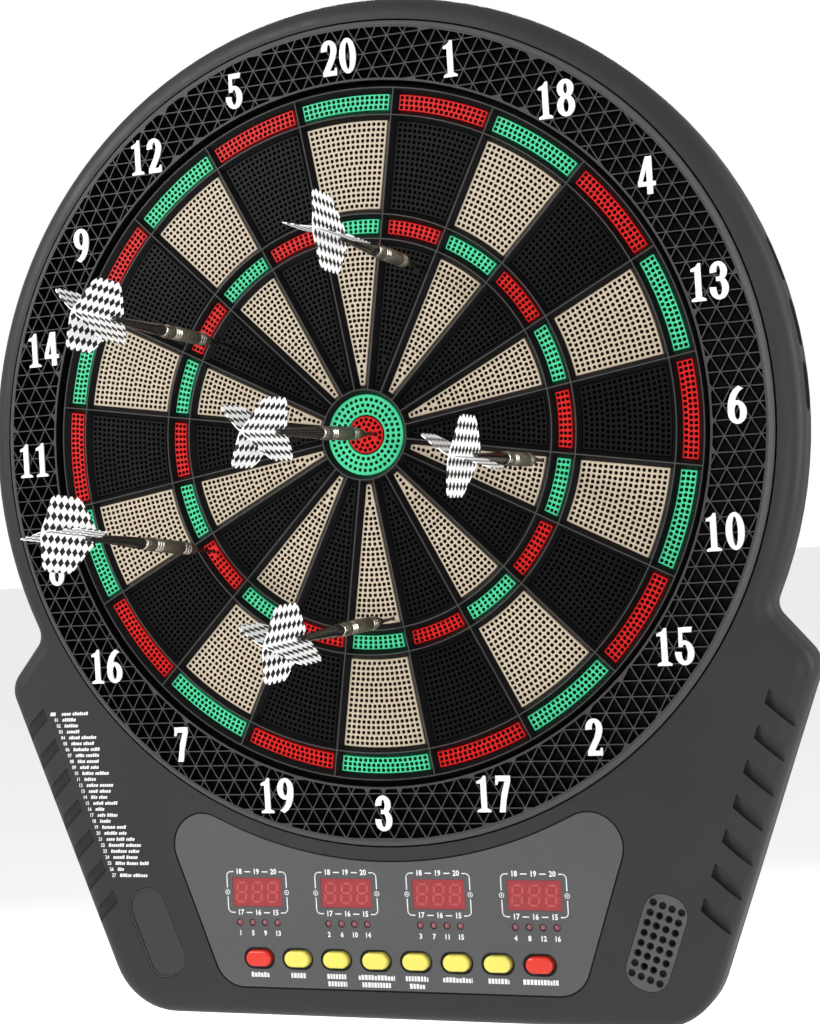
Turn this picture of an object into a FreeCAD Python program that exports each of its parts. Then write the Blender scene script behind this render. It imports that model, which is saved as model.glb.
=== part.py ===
import FreeCAD, Part
import math, os

# Electronic dartboard with six darts in it.  Millimetres.
# The board hangs in the XZ plane and faces -Y; +Z is up and +X is the player's right.
# Origin: centre of the bull on the face of the segments; y grows towards the wall.

os.makedirs("parts", exist_ok=True)
Vector = FreeCAD.Vector
ORIGIN = Vector(0, 0, 0)
AXIS_X, AXIS_Y, AXIS_Z = Vector(1, 0, 0), Vector(0, 1, 0), Vector(0, 0, 1)

# ---------------------------------------------------------------------------
# Driving dimensions
# ---------------------------------------------------------------------------
# planes along y
Y_NUMERAL = -5.8      # front of the numerals
Y_LATTICE = -5.0      # front of the number-ring lattice
Y_FRONT = -2.2        # front plane of the housing
Y_SEGMENT = 0.0       # face of the scoring segments
Y_JOIN = 20.0         # parting plane between housing and rear cover
Y_REAR = 33.0         # wall side
SKIN = 2.6            # moulded wall thickness of housing and cover sides
COVER_T = 2.5         # thickness of the cover's back
COVER_INSET = 2.0     # the cover outline lies this far inside the housing's

# case outline
CASE_R = 218.0
NECK_R = 8.0          # concave arc between circle and shoulder
SHOULDER_R = 14.0
FOOT_R = 36.0
FOOT_BOTTOM = -294.0
FRONT_EDGE_R = 10.0
REAR_EDGE_R = 3.0
SHOULDER_POINT = (203.0, -102.5)
SHOULDER_DIR = (0.6478, -0.7618)
SHOULDER_NORMAL = (-SHOULDER_DIR[1], SHOULDER_DIR[0])
FLANK_POINT = (212.0, -137.0)
FLANK_TILT = 20.36    # degrees from vertical
FLANK_SIN = math.sin(math.radians(FLANK_TILT))
FLANK_COS = math.cos(math.radians(FLANK_TILT))
FLANK_DIR = (-FLANK_SIN, -FLANK_COS)
FLANK_NORMAL = (FLANK_COS, -FLANK_SIN)

# scoring area: radial bands of the segments, from the bull outwards
SECTOR_ORDER = [20, 1, 18, 4, 13, 6, 10, 15, 2, 17, 3, 19, 7, 16, 8, 11, 14, 9, 12, 5]
SECTOR_ANGLE = 18
BULL_IN_R = 9.3
BULL_IN_FLANGE_R = BULL_IN_R + 1.3
BULL_OUT_HOLE_R, BULL_OUT_R = 10.0, 20.3
BANDS = [(24.8, 95.0), (100.5, 107.5), (112.5, 156.5), (161.5, 169.4)]
HALF_GAP = 2.6        # segment edge to rib centre line
SEG_REAR = 8.5
SEG_FLANGE_Y = 6.0
SEG_FLANGE = 1.1

# contact stack behind the segments, (front, rear) in y
PAD = (9.6, 11.1)
MEMBRANE_FRONT = (11.15, 11.45)
MEMBRANE_REAR = (11.5, 11.8)
PLATE = (11.9, 15.9)
PLATE_R = 196.0
STACK_R = 184.0

# one self-tapping screw is used throughout
SCREW_HEAD_R = 2.8
SCREW_HEAD_H = 2.0
SCREW_R = 1.2
SCREW_L = 8.0
PILOT_R = 1.25
CLEARANCE_R = 1.7
CASE_SCREW_SEAT = 24.0

# parts in the lower front
PANEL_T = 1.5
PANEL_Y0 = Y_FRONT + 0.1
PANEL_Y1 = PANEL_Y0 + PANEL_T
PANEL_RECESS = 1.65
PANEL_GAP = 0.85
WINDOW_PITCH = 49.6
WINDOW_X = [(i - 1.5) * WINDOW_PITCH for i in range(4)]
WINDOW_Z = -229.2
WINDOW_W, WINDOW_H = 27.6, 14.8
MODULE_W, MODULE_H = 25.2, 12.8
MODULE_CLEAR = 0.3
LED_Z = -244.7
LED_R = 1.7
LED_CLEAR = 0.15
LED_SPOTS = [(x + dx, LED_Z) for x in WINDOW_X for dx in (-10.6, -3.5, 3.5, 10.6)]
BUTTON_X = [-75.2, -53.7, -32.3, -10.8, 10.8, 32.3, 53.7, 75.2]
BUTTON_Z = -262.9
BUTTON_W, BUTTON_H = 14.0, 8.2
BUTTON_HOLE_W, BUTTON_HOLE_H = 17.4, 11.2    # openings in the panel
BUTTON_TOP = -4.0
PCB = (8.4, 10.0)

# tilted insets on both feet, parallel to the flanks
INSET_X, INSET_Z = 133.8, -251.0
INSET_L, INSET_W, INSET_R = 47.5, 21.6, 9.4
INSET_Y0, INSET_Y1 = Y_FRONT + 0.05, Y_FRONT + 1.55
SPEAKER_R = 14.0

# battery compartment
BAT_X, BAT_Z = 0.0, -246.0
BAT_L, BAT_W = 54.4, 46.0
BAT_Y = 16.6          # floor of the tray
BAT_WALL = 1.6
CELL_R, CELL_L, CELL_PITCH = 7.1, 49.5, 15.1
DOOR_W, DOOR_H, DOOR_R = BAT_L + 8.0, BAT_W + 8.0, 3.0
DOOR_T = 1.5
DOOR_TOP = BAT_Z + DOOR_H / 2


# ---------------------------------------------------------------------------
# Points and outlines.  A plane point is (x, z).  An outline is a closed list of
# pieces: two points make a line, three (start, middle, end) make an arc.
# ---------------------------------------------------------------------------
def at(x, z, y=0.0):
    return Vector(x, y, z)


def polar(radius, degrees):
    angle = math.radians(degrees)
    return (radius * math.cos(angle), radius * math.sin(angle))


def flip(point):
    return (-point[0], point[1])


def cross_lines(point_a, dir_a, point_b, dir_b):
    """where two lines meet"""
    den = dir_a[0] * dir_b[1] - dir_a[1] * dir_b[0]
    gap = (point_b[0] - point_a[0], point_b[1] - point_a[1])
    along = (gap[0] * dir_b[1] - gap[1] * dir_b[0]) / den
    return (point_a[0] + dir_a[0] * along, point_a[1] + dir_a[1] * along)


def inset_point(point, normal, inset):
    return (point[0] - normal[0] * inset, point[1] - normal[1] * inset)


def corner_arc(before, corner, after, radius):
    """arc that rounds a corner between two straight sides"""
    ux, uz = before[0] - corner[0], before[1] - corner[1]
    vx, vz = after[0] - corner[0], after[1] - corner[1]
    len_u, len_v = math.hypot(ux, uz), math.hypot(vx, vz)
    ux, uz, vx, vz = ux / len_u, uz / len_u, vx / len_v, vz / len_v
    angle = math.acos(ux * vx + uz * vz)
    setback = radius / math.tan(angle / 2)
    reach = radius / math.sin(angle / 2) - radius
    bis_x, bis_z = ux + vx, uz + vz
    len_b = math.hypot(bis_x, bis_z)
    return ((corner[0] + ux * setback, corner[1] + uz * setback),
            (corner[0] + bis_x / len_b * reach, corner[1] + bis_z / len_b * reach),
            (corner[0] + vx * setback, corner[1] + vz * setback))


def rounded(points, radius):
    """outline of a polygon with all its corners rounded"""
    count = len(points)
    arcs = [corner_arc(points[i - 1], points[i], points[(i + 1) % count], radius)
            for i in range(count)]
    outline = []
    for i, arc in enumerate(arcs):
        outline += [arc, (arc[2], arcs[(i + 1) % count][0])]
    return outline


def round_rect(cx, cz, width, height, radius, tilt=0.0):
    cos_t, sin_t = math.cos(math.radians(tilt)), math.sin(math.radians(tilt))
    corners = [(-width / 2, -height / 2), (width / 2, -height / 2),
               (width / 2, height / 2), (-width / 2, height / 2)]
    return rounded([(cx + x * cos_t + z * sin_t, cz - x * sin_t + z * cos_t)
                    for x, z in corners], radius)


def capsule_outline(cx, cz, width, height):
    # a hair under half the height, so that the short sides keep some length
    return round_rect(cx, cz, width, height, height / 2 - 0.001)


def foot_inset(side, grow=0.0):
    """tilted inset outline on the right (1) or left (-1) foot; grow is in full width"""
    return round_rect(side * INSET_X, INSET_Z, INSET_W + grow, INSET_L + grow,
                      INSET_R + grow / 2, side * FLANK_TILT)


def mirror_closed(right):
    """close a right-hand chain with a bottom line and its mirror image"""
    left = [tuple(flip(point) for point in reversed(piece)) for piece in reversed(right)]
    bottom = right[-1][-1]
    return right + [(bottom, flip(bottom))] + left


# ---------------------------------------------------------------------------
# Solids.  Prisms and cylinders run along y from y0 to y1.
# ---------------------------------------------------------------------------
def polygon_wire(points):
    return Part.makePolygon(points + [points[0]])


def polygon_face(points):
    return Part.Face(polygon_wire(points))


def outline_face(outline, place):
    """face bounded by an outline; place turns a plane point into a Vector"""
    edges = []
    for piece in outline:
        spots = [place(*point) for point in piece]
        if len(piece) == 3:
            edges.append(Part.Arc(*spots).toShape())
        elif math.dist(*piece) > 1e-6:
            edges.append(Part.makeLine(*spots))
    return Part.Face(Part.Wire(edges))


def prism(points, y0, y1):
    return polygon_face([at(x, z, y0) for x, z in points]).extrude(Vector(0, y1 - y0, 0))


def slab(outline, y0, y1):
    face = outline_face(outline, lambda x, z: at(x, z, y0))
    return face.extrude(Vector(0, y1 - y0, 0))


def capsule(cx, cz, width, height, y0, y1):
    return slab(capsule_outline(cx, cz, width, height), y0, y1)


def cyl(x, z, radius, y0, y1):
    return Part.makeCylinder(radius, y1 - y0, at(x, z, y0), AXIS_Y)


def cone(x, z, radius0, radius1, y0, length):
    return Part.makeCone(radius0, radius1, length, at(x, z, y0), AXIS_Y)


def box(x0, x1, y0, y1, z0, z1):
    return Part.makeBox(x1 - x0, y1 - y0, z1 - z0, Vector(x0, y0, z0))


def turned(profile):
    """profile of (radius, y) revolved about the board's axis"""
    return polygon_face([Vector(r, y, 0) for r, y in profile]).revolve(ORIGIN, AXIS_Y, 360)


def both_sides(shape):
    return [shape, shape.mirror(ORIGIN, AXIS_X)]


def edges_at(shape, y):
    return [e for e in shape.Edges if all(abs(v.Point.y - y) < 1e-6 for v in e.Vertexes)]


def refined(shape):
    # guards the merging of coplanar faces, which can fail on a fused shape;
    # the unmerged shape is then used
    try:
        return shape.removeSplitter()
    except Exception:
        return shape


def outward(shape):
    """turn an inside-out solid round"""
    if shape.Volume < 0:
        shape.reverse()
    return shape


def largest(shape):
    return max(shape.Solids, key=lambda solid: solid.Volume)


def save(name, shape):
    if isinstance(shape, list):
        shape = Part.makeCompound(shape)
    shape.exportStep("parts/" + name + ".step")


# ---------------------------------------------------------------------------
# Case outline: a circle, a concave neck, a sloping shoulder, a straight flank
# and a large foot radius, mirrored
# ---------------------------------------------------------------------------
# centre of the neck arc, tangent to the case circle and to the shoulder line
NECK_REACH = CASE_R + NECK_R
NECK_ANGLE = (math.acos((NECK_R + SHOULDER_NORMAL[0] * SHOULDER_POINT[0]
                         + SHOULDER_NORMAL[1] * SHOULDER_POINT[1]) / NECK_REACH)
              - math.atan2(SHOULDER_NORMAL[1], SHOULDER_NORMAL[0]))
NECK_X = NECK_REACH * math.cos(NECK_ANGLE)
NECK_Z = -NECK_REACH * math.sin(NECK_ANGLE)


def case_outline(inset):
    radius = CASE_R - inset
    neck_r = NECK_R + inset
    neck_start = (radius * math.cos(NECK_ANGLE), -radius * math.sin(NECK_ANGLE))
    neck_end = (NECK_X - SHOULDER_NORMAL[0] * neck_r, NECK_Z - SHOULDER_NORMAL[1] * neck_r)
    angles = [math.atan2(z - NECK_Z, x - NECK_X) % (2 * math.pi)
              for x, z in (neck_start, neck_end)]
    middle = sum(angles) / 2
    neck_mid = (NECK_X + neck_r * math.cos(middle), NECK_Z + neck_r * math.sin(middle))
    shoulder_point = inset_point(SHOULDER_POINT, SHOULDER_NORMAL, inset)
    flank_point = inset_point(FLANK_POINT, FLANK_NORMAL, inset)
    bottom = (0, FOOT_BOTTOM + inset)
    shoulder = cross_lines(shoulder_point, SHOULDER_DIR, flank_point, FLANK_DIR)
    foot = cross_lines(flank_point, FLANK_DIR, bottom, (1, 0))
    shoulder_arc = corner_arc(neck_end, shoulder, foot, SHOULDER_R - inset)
    foot_arc = corner_arc(shoulder, foot, bottom, FOOT_R - inset)
    return mirror_closed([((0, radius), polar(radius, 35), neck_start),
                          (neck_start, neck_mid, neck_end),
                          (neck_end, shoulder_arc[0]), shoulder_arc,
                          (shoulder_arc[2], foot_arc[0]), foot_arc])


def case_slab(inset, y0, y1, front_r=0.0, rear_r=0.0):
    body = slab(case_outline(inset), y0, y1)
    if front_r:
        body = body.makeFillet(front_r, edges_at(body, y0))
    if rear_r:
        body = body.makeFillet(rear_r, edges_at(body, y1))
    return body


# ---------------------------------------------------------------------------
# Control panel outline: concave top concentric with the board, rounded ears,
# slanting sides and rounded lower corners
# ---------------------------------------------------------------------------
PANEL_ARC_R = 213.5
PANEL_ARC_HALF = 25.2     # degrees from straight down to the end of the arc
PANEL_SIDE_TILT = 19.4    # degrees from vertical
PANEL_SIDE = (118.2, -213.5)
PANEL_SIDE_GROW = 1.05    # sideways shift of the slanting side per unit of growth
PANEL_BOTTOM = -277.6
PANEL_EAR_R = 16.5
PANEL_LOW_R = 16.0


def panel_outline(grow=0.0):
    arc_r = PANEL_ARC_R - grow
    arc_end = polar(arc_r, 270 + PANEL_ARC_HALF)
    tangent = polar(1, PANEL_ARC_HALF)
    tilt = math.radians(PANEL_SIDE_TILT)
    side_dir = (-math.sin(tilt), -math.cos(tilt))
    side_point = (PANEL_SIDE[0] + grow * PANEL_SIDE_GROW, PANEL_SIDE[1])
    bottom = (0, PANEL_BOTTOM - grow)
    low = cross_lines(side_point, side_dir, bottom, (1, 0))
    ear = cross_lines(arc_end, tangent, side_point, side_dir)
    ear_arc = corner_arc(arc_end, ear, low, PANEL_EAR_R + grow)
    low_arc = corner_arc(ear, low, bottom, PANEL_LOW_R + grow)
    return [(flip(arc_end), (0, -arc_r), arc_end)] + mirror_closed(
        [(arc_end, ear_arc[0]), ear_arc, (ear_arc[2], low_arc[0]), low_arc])


# ---------------------------------------------------------------------------
# Screw places (x, z)
# ---------------------------------------------------------------------------
CASE_SCREW_CIRCLE = 210.8
CASE_SCREWS = [polar(CASE_SCREW_CIRCLE, deg)
               for deg in (28.0, 59.0, 90.0, 121.0, 152.0, -12.0, 192.0)]
CASE_SCREWS += [(side * x, z) for x, z in [(203.0, -123.0), (177.0, -196.0), (128.0, -284.0)]
                for side in (1, -1)]
CASE_SCREWS.append((0.0, -285.0))
PCB_SCREWS = [(x, z) for z in (-225.0, -266.0) for x in (-91.0, 91.0)]
MATRIX_SCREW_COUNT = 10
MATRIX_SCREW_CIRCLE = 190.0
MATRIX_SCREWS = [polar(MATRIX_SCREW_CIRCLE, 360 / MATRIX_SCREW_COUNT * (i + 0.5))
                 for i in range(MATRIX_SCREW_COUNT)]

# ---------------------------------------------------------------------------
# Front housing
# ---------------------------------------------------------------------------
WINDOW_R = 206.2          # round opening, just inside the case screw bosses
CUT_FRONT, CUT_BACK = -3.5, 3.0       # y range of the openings behind the panel
CASE_BOSS_R, PCB_BOSS_R = 3.0, 2.8

# capsule pockets in the rim, given as degrees above the x axis
POCKET_DEGREES = (18.2, 9.9, 1.95)
POCKET_L, POCKET_H = 23.0, 9.6
POCKET_Y = 13.4
POCKET_R0, POCKET_R1 = 213.0, 225.0

# scoops across the flanks: inner upper corner of each, top to bottom
SCOOP_TIPS = [(194.4 - 6.02 * i, -132.2 - 16.13 * i) for i in range(7)]
SCOOP_DIR = (0.73, -0.683)
SCOOP_W, SCOOP_L = 6.7, 34.0
SCOOP_SHALLOW, SCOOP_DEEP = 1.1, 3.6  # depth at the upper and lower edge
SCOOP_FALL = 1.2          # extra depth at the outer end


def flank_strip(inset0, inset1):
    """band along the right flank between two insets from the flank line"""
    upper, lower = [(FLANK_POINT[0] + reach * FLANK_SIN, FLANK_POINT[1] + reach * FLANK_COS)
                    for reach in (20, -128)]
    return [inset_point(end, FLANK_NORMAL, inset)
            for end, inset in ((upper, inset0), (upper, inset1), (lower, inset1),
                               (lower, inset0))]


def scoop_cutter(tip):
    """scoop with a sharp inner end; its floor is deepest along the lower edge"""
    low = (tip[0] - SCOOP_W * FLANK_SIN, tip[1] - SCOOP_W * FLANK_COS)
    low_end, tip_end = [(x + SCOOP_DIR[0] * SCOOP_L, z + SCOOP_DIR[1] * SCOOP_L)
                        for x, z in (low, tip)]
    corners = [tip, low, low_end, tip_end]
    depths = [SCOOP_SHALLOW, SCOOP_DEEP, SCOOP_DEEP + SCOOP_FALL, SCOOP_SHALLOW + SCOOP_FALL]
    mouth = [at(x, z, Y_FRONT - 1.0) for x, z in corners]
    floor = [at(x, z, Y_FRONT + depth) for (x, z), depth in zip(corners, depths)]
    faces = [polygon_face(mouth), polygon_face(floor)]
    for i in range(4):
        j = (i + 1) % 4
        faces.append(polygon_face([mouth[i], mouth[j], floor[j], floor[i]]))
    return outward(Part.Solid(Part.Shell(faces)))


def turn_to(shape, degrees):
    """swing a shape from the +X radius to another radius"""
    shape.rotate(ORIGIN, AXIS_Y, -degrees)
    return shape


def pocket_cutter(degrees):
    """capsule prism along a radius, its long side tangential"""
    face = outline_face(capsule_outline(0, 0, POCKET_L, POCKET_H),
                        lambda along, across: Vector(POCKET_R0, POCKET_Y + across, along))
    return turn_to(face.extrude(Vector(POCKET_R1 - POCKET_R0, 0, 0)), degrees)


def radial_box(degrees, half, y0, y1, r0, r1):
    return turn_to(box(r0, r1, y0, y1, -half, half), degrees)


def housing_pads():
    """everything that is left standing inside the hollow housing"""
    pad_front = Y_FRONT + 1.0
    # thicker skin behind the control panel, the flank scoops and the rim pockets
    pads = [slab(panel_outline(3.0), pad_front, 2.0)]
    pads += both_sides(prism(flank_strip(-6.0, 21.0), pad_front, 4.0))
    for deg in POCKET_DEGREES:
        pads += both_sides(radial_box(deg, 14.5, 6.2, Y_JOIN + 2, 209.0, 222.0))
    for x, z in CASE_SCREWS:
        pads.append(cyl(x, z, CASE_BOSS_R, pad_front, Y_JOIN + 2))
    for x, z in PCB_SCREWS:
        pads.append(cyl(x, z, PCB_BOSS_R, pad_front, PCB[0] - 0.05))
    # ring that locates the speaker
    ring = cyl(INSET_X, INSET_Z, SPEAKER_R + 2.0, pad_front, 7.5)
    pads.append(ring.cut(cyl(INSET_X, INSET_Z, SPEAKER_R + 0.4, pad_front - 1, 8.5)))
    return pads


def front_housing():
    cavity = case_slab(SKIN, Y_FRONT + SKIN, Y_JOIN + 1.0, front_r=FRONT_EDGE_R - SKIN)
    pads = housing_pads()
    cavity = cavity.cut(pads[0])
    cavity = cavity.cut(pads[1:])
    cuts = [cavity, cyl(0, 0, WINDOW_R, Y_FRONT - 1, 5.9),
            slab(panel_outline(PANEL_GAP), Y_FRONT - 1, Y_FRONT + PANEL_RECESS)]
    half_w, half_h = MODULE_W / 2 + MODULE_CLEAR, MODULE_H / 2 + MODULE_CLEAR
    for i, x in enumerate(WINDOW_X):
        cuts.append(box(x - half_w, x + half_w, CUT_FRONT, CUT_BACK,
                        WINDOW_Z - half_h, WINDOW_Z + half_h))
        for led_x, led_z in LED_SPOTS[4 * i:4 * i + 4]:
            cuts.append(cyl(led_x, led_z, LED_R + LED_CLEAR, CUT_FRONT, CUT_BACK))
    for x in BUTTON_X:
        cuts.append(capsule(x, BUTTON_Z, BUTTON_W + 0.5, BUTTON_H + 0.5, CUT_FRONT, CUT_BACK))
    for side in (1, -1):
        cuts.append(slab(foot_inset(side, 0.5), Y_FRONT - 1, Y_FRONT + 1.6))
    # opening behind the grille, limited to the speaker's circle where it is deep
    opening = foot_inset(1, -3)
    cuts.append(slab(opening, CUT_FRONT, 5.0)
                .common(cyl(INSET_X, INSET_Z, SPEAKER_R + 0.3, -4, 6))
                .fuse(slab(opening, CUT_FRONT, 0.3)))
    for tip in SCOOP_TIPS:
        cuts += both_sides(scoop_cutter(tip))
    for deg in POCKET_DEGREES:
        cuts += both_sides(pocket_cutter(deg))
    for x, z in CASE_SCREWS:
        cuts.append(cyl(x, z, PILOT_R, 10.0, Y_JOIN + 1))
    for x, z in PCB_SCREWS:
        cuts.append(cyl(x, z, PILOT_R, 1.0, PCB[0] + 1))
    # the bosses end short of the parting plane so that the halves close
    cuts.append(case_slab(SKIN, Y_JOIN - 0.2, Y_JOIN + 2))
    housing = case_slab(0.0, Y_FRONT, Y_JOIN, front_r=FRONT_EDGE_R)
    for cutter in cuts:
        housing = housing.cut(cutter)
    return largest(housing)


save("front_housing", front_housing())

# ---------------------------------------------------------------------------
# Rear cover
# ---------------------------------------------------------------------------
KEY_X, KEY_Z = 80.0, 110.0      # keyholes for hanging
KEY_HEAD_R, KEY_SLOT_R, KEY_RISE = 4.5, 2.3, 12.0
KEY_FLOOR, KEY_SLOT_FLOOR = 28.0, 30.0
# shallow channels across the back: (z, half length)
CHANNELS = [(150.0, 90.0), (60.0, 120.0), (0.0, 120.0), (-60.0, 120.0), (-150.0, 120.0)]


def cover_lip():
    """thin wall that reaches into the housing"""
    lip = case_slab(SKIN + 0.15, Y_JOIN - 3, Y_JOIN + 0.5).cut(
        case_slab(COVER_INSET + SKIN, Y_JOIN - 4, Y_JOIN + 1))
    for x, z in CASE_SCREWS:
        lip = lip.cut(cyl(x, z, 3.3, Y_JOIN - 4, Y_JOIN + 0.01))
    for deg in POCKET_DEGREES:
        lip = lip.cut(both_sides(radial_box(deg, 15.0, 5, Y_JOIN + 0.01, 207.0, 222.0)))
    return lip


def keyhole_cuts(x):
    slot_top = KEY_Z + KEY_RISE
    head_w = 2 * KEY_HEAD_R + 0.6
    return [cyl(x, KEY_Z, KEY_HEAD_R, KEY_FLOOR, Y_REAR + 1),
            cyl(x, slot_top, KEY_SLOT_R, KEY_SLOT_FLOOR, Y_REAR + 1),
            box(x - KEY_SLOT_R, x + KEY_SLOT_R, KEY_SLOT_FLOOR, Y_REAR + 1, KEY_Z, slot_top),
            # the screw head slides up in the wider space inside the slot
            slab(round_rect(x, KEY_Z + KEY_RISE / 2, head_w, KEY_RISE + head_w, 3.0),
                 KEY_FLOOR, 30.6)]


def battery_box(margin, y0, y1):
    half_l, half_w = BAT_L / 2 + margin, BAT_W / 2 + margin
    return box(BAT_X - half_l, BAT_X + half_l, y0, y1, BAT_Z - half_w, BAT_Z + half_w)


def rear_cover():
    cover = case_slab(COVER_INSET, Y_JOIN, Y_REAR, rear_r=REAR_EDGE_R)
    inner = case_slab(COVER_INSET + SKIN, Y_JOIN - 5, Y_REAR - COVER_T)
    keep = [cyl(x, z, 4.7, Y_JOIN - 6, Y_REAR) for x, z in CASE_SCREWS]
    keep.append(battery_box(2, Y_JOIN - 6, Y_REAR))
    # solid blocks round the keyholes
    for x in (-KEY_X, KEY_X):
        keep.append(box(x - 9, x + 9, 26.0, Y_REAR, KEY_Z - 8, KEY_Z + 20))
    inner = inner.cut(keep)
    lip = cover_lip()
    cover = cover.cut(inner)
    cover = cover.fuse(lip)
    # the battery tray reaches into the case
    cover = cover.fuse(battery_box(BAT_WALL, BAT_Y - BAT_WALL, Y_REAR - 1))
    door_floor = Y_REAR - 1.6
    cuts = [battery_box(0, BAT_Y, Y_REAR + 1),
            slab(round_rect(BAT_X, BAT_Z, DOOR_W + 0.5, DOOR_H + 0.5, DOOR_R + 0.25),
                 door_floor, Y_REAR + 1),
            # finger notch at the top edge of the door
            cyl(BAT_X, DOOR_TOP + 1.0, 8.0, door_floor, Y_REAR + 1)]
    for x, z in CASE_SCREWS:
        cuts.append(cyl(x, z, 3.0, CASE_SCREW_SEAT, Y_REAR + 1))
        cuts.append(cyl(x, z, CLEARANCE_R, Y_JOIN - 5, CASE_SCREW_SEAT + 1))
    for x in (-KEY_X, KEY_X):
        cuts += keyhole_cuts(x)
    for z, half in CHANNELS:
        cuts.append(slab(round_rect(0, z, 2 * half, 5.0, 1.5), Y_REAR - 0.8, Y_REAR + 1))
    return largest(cover.cut(cuts))


save("rear_cover", rear_cover())


# ---------------------------------------------------------------------------
# Battery door, cells and contacts
# ---------------------------------------------------------------------------
def battery_door():
    door = slab(round_rect(BAT_X, BAT_Z, DOOR_W, DOOR_H, DOOR_R), Y_REAR - DOOR_T, Y_REAR)
    # thumb tab on the top edge
    tab = cyl(BAT_X, DOOR_TOP - 1.0, 6.5, Y_REAR - DOOR_T, Y_REAR)
    door = door.fuse(tab.common(box(-20, 20, 0, 50, DOOR_TOP - 2, DOOR_TOP + 20)))
    # grip grooves
    for i in range(5):
        z = BAT_Z + 8 + 2.4 * i
        door = door.cut(box(BAT_X - 9, BAT_X + 9, Y_REAR - 0.5, Y_REAR + 1, z, z + 1.1))
    return door.removeSplitter().Solids[0]


def battery_cell(y, z, side):
    """AA cell along x, its positive end towards side"""
    body = Part.makeCylinder(CELL_R, CELL_L, Vector(BAT_X - CELL_L / 2, y, z), AXIS_X)
    body = body.makeFillet(0.6, [e for e in body.Edges if isinstance(e.Curve, Part.Circle)])
    nub_x = BAT_X + side * (CELL_L / 2 - 0.1)
    nub = Part.makeCylinder(2.7, 1.1, Vector(nub_x, y, z), Vector(side, 0, 0))
    return body.fuse(nub).Solids[0]


def battery_contact(y, z, side, positive):
    """plate at one end of a cell: a flat bump for the nub, a cone for the flat end"""
    back = BAT_X + side * (BAT_L / 2 - 0.15)
    face = back - side * 0.4
    plate = box(min(back, face), max(back, face), y - 5.5, y + 5.5, z - 5.0, z + 5.0)
    start, inward = Vector(back - side * 0.3, y, z), Vector(-side, 0, 0)
    if positive:
        bump = Part.makeCylinder(2.0, 0.6, start, inward)
    else:
        bump = Part.makeCone(3.6, 2.0, 1.5, start, inward)
    return plate.fuse(bump).removeSplitter().Solids[0]


cells, contacts = [], []
for i, cell_side in enumerate((1, -1, 1)):
    cell_y, cell_z = BAT_Y + 0.2 + CELL_R, BAT_Z + (i - 1) * CELL_PITCH
    cells.append(battery_cell(cell_y, cell_z, cell_side))
    for side in (-1, 1):
        contacts.append(battery_contact(cell_y, cell_z, side, side == cell_side))
save("battery_cover", battery_door())
save("batteries", cells)
save("battery_contacts", contacts)

# ---------------------------------------------------------------------------
# Number ring: sloped rim, triangular lattice of open pockets, rear flange and
# screw bosses
# ---------------------------------------------------------------------------
RING_R = 205.4
RING_TOP_R = 202.6
RING_FLANGE_R = 207.6
RING_IN_R = 175.6
RING_REAR = 3.0
RING_BOSS_R = 3.2
TRI_SIDE = 8.65           # triangle side of the lattice
TRI_HEIGHT = TRI_SIDE * math.sqrt(3) / 2
LATTICE_RIB = 0.55
LATTICE_DEPTH = 6.0
LATTICE_R0, LATTICE_R1 = RING_IN_R + 1.0, RING_TOP_R - 0.9
MIN_POCKET_AREA = 2.2


def clip_half(poly, nx, nz, limit):
    """keep the part of a convex polygon with n.p <= limit"""
    kept = []
    for i, start in enumerate(poly):
        end = poly[(i + 1) % len(poly)]
        over_start = nx * start[0] + nz * start[1] - limit
        over_end = nx * end[0] + nz * end[1] - limit
        if over_start <= 0:
            kept.append(start)
        if over_start < 0 < over_end or over_end < 0 < over_start:
            share = over_start / (over_start - over_end)
            kept.append((start[0] + (end[0] - start[0]) * share,
                         start[1] + (end[1] - start[1]) * share))
    return kept


def without_short_sides(poly, shortest):
    kept = []
    for point in poly:
        if not kept or math.dist(point, kept[-1]) > shortest:
            kept.append(point)
    if len(kept) > 1 and math.dist(kept[0], kept[-1]) < shortest:
        kept.pop()
    return kept


def signed_area(poly):
    ends = poly[1:] + poly[:1]
    return 0.5 * sum(a[0] * b[1] - b[0] * a[1] for a, b in zip(poly, ends))


def cell_triangles(row, col):
    """the two triangles of one lattice cell; odd rows are shifted by half a side"""
    z0, z1 = row * TRI_HEIGHT + 1.0, (row + 1) * TRI_HEIGHT + 1.0
    x0 = col * TRI_SIDE
    x1, x2, x3 = x0 + TRI_SIDE / 2, x0 + TRI_SIDE, x0 + 1.5 * TRI_SIDE
    if row % 2 == 0:
        return [[(x0, z0), (x2, z0), (x1, z1)], [(x2, z0), (x3, z1), (x1, z1)]]
    return [[(x1, z0), (x3, z0), (x2, z1)], [(x1, z0), (x2, z1), (x0, z1)]]


def pocket_outline(triangle):
    """triangle less half a rib all round, clipped to the ring; None if too little is left"""
    cx = sum(p[0] for p in triangle) / 3
    cz = sum(p[1] for p in triangle) / 3
    reach = math.hypot(cx, cz)
    if reach < LATTICE_R0 - 6 or reach > LATTICE_R1 + 6:
        return None
    shrink = 1 - LATTICE_RIB / 2 / (TRI_HEIGHT / 3)
    poly = [(cx + (x - cx) * shrink, cz + (z - cz) * shrink) for x, z in triangle]
    ux, uz = cx / reach, cz / reach
    poly = clip_half(poly, ux, uz, LATTICE_R1 - 0.03)
    poly = clip_half(poly, -ux, -uz, -(LATTICE_R0 + 0.03))
    poly = without_short_sides(poly, 0.25)
    area = signed_area(poly)
    if abs(area) < MIN_POCKET_AREA:
        return None
    return poly[::-1] if area > 0 else poly


def lattice_pockets():
    rows = int(RING_R / TRI_HEIGHT) + 2
    cols = int(RING_R / TRI_SIDE) + 3
    outlines = [pocket_outline(triangle) for row in range(-rows, rows)
                for col in range(-cols, cols) for triangle in cell_triangles(row, col)]
    return [outline for outline in outlines if outline]


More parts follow.
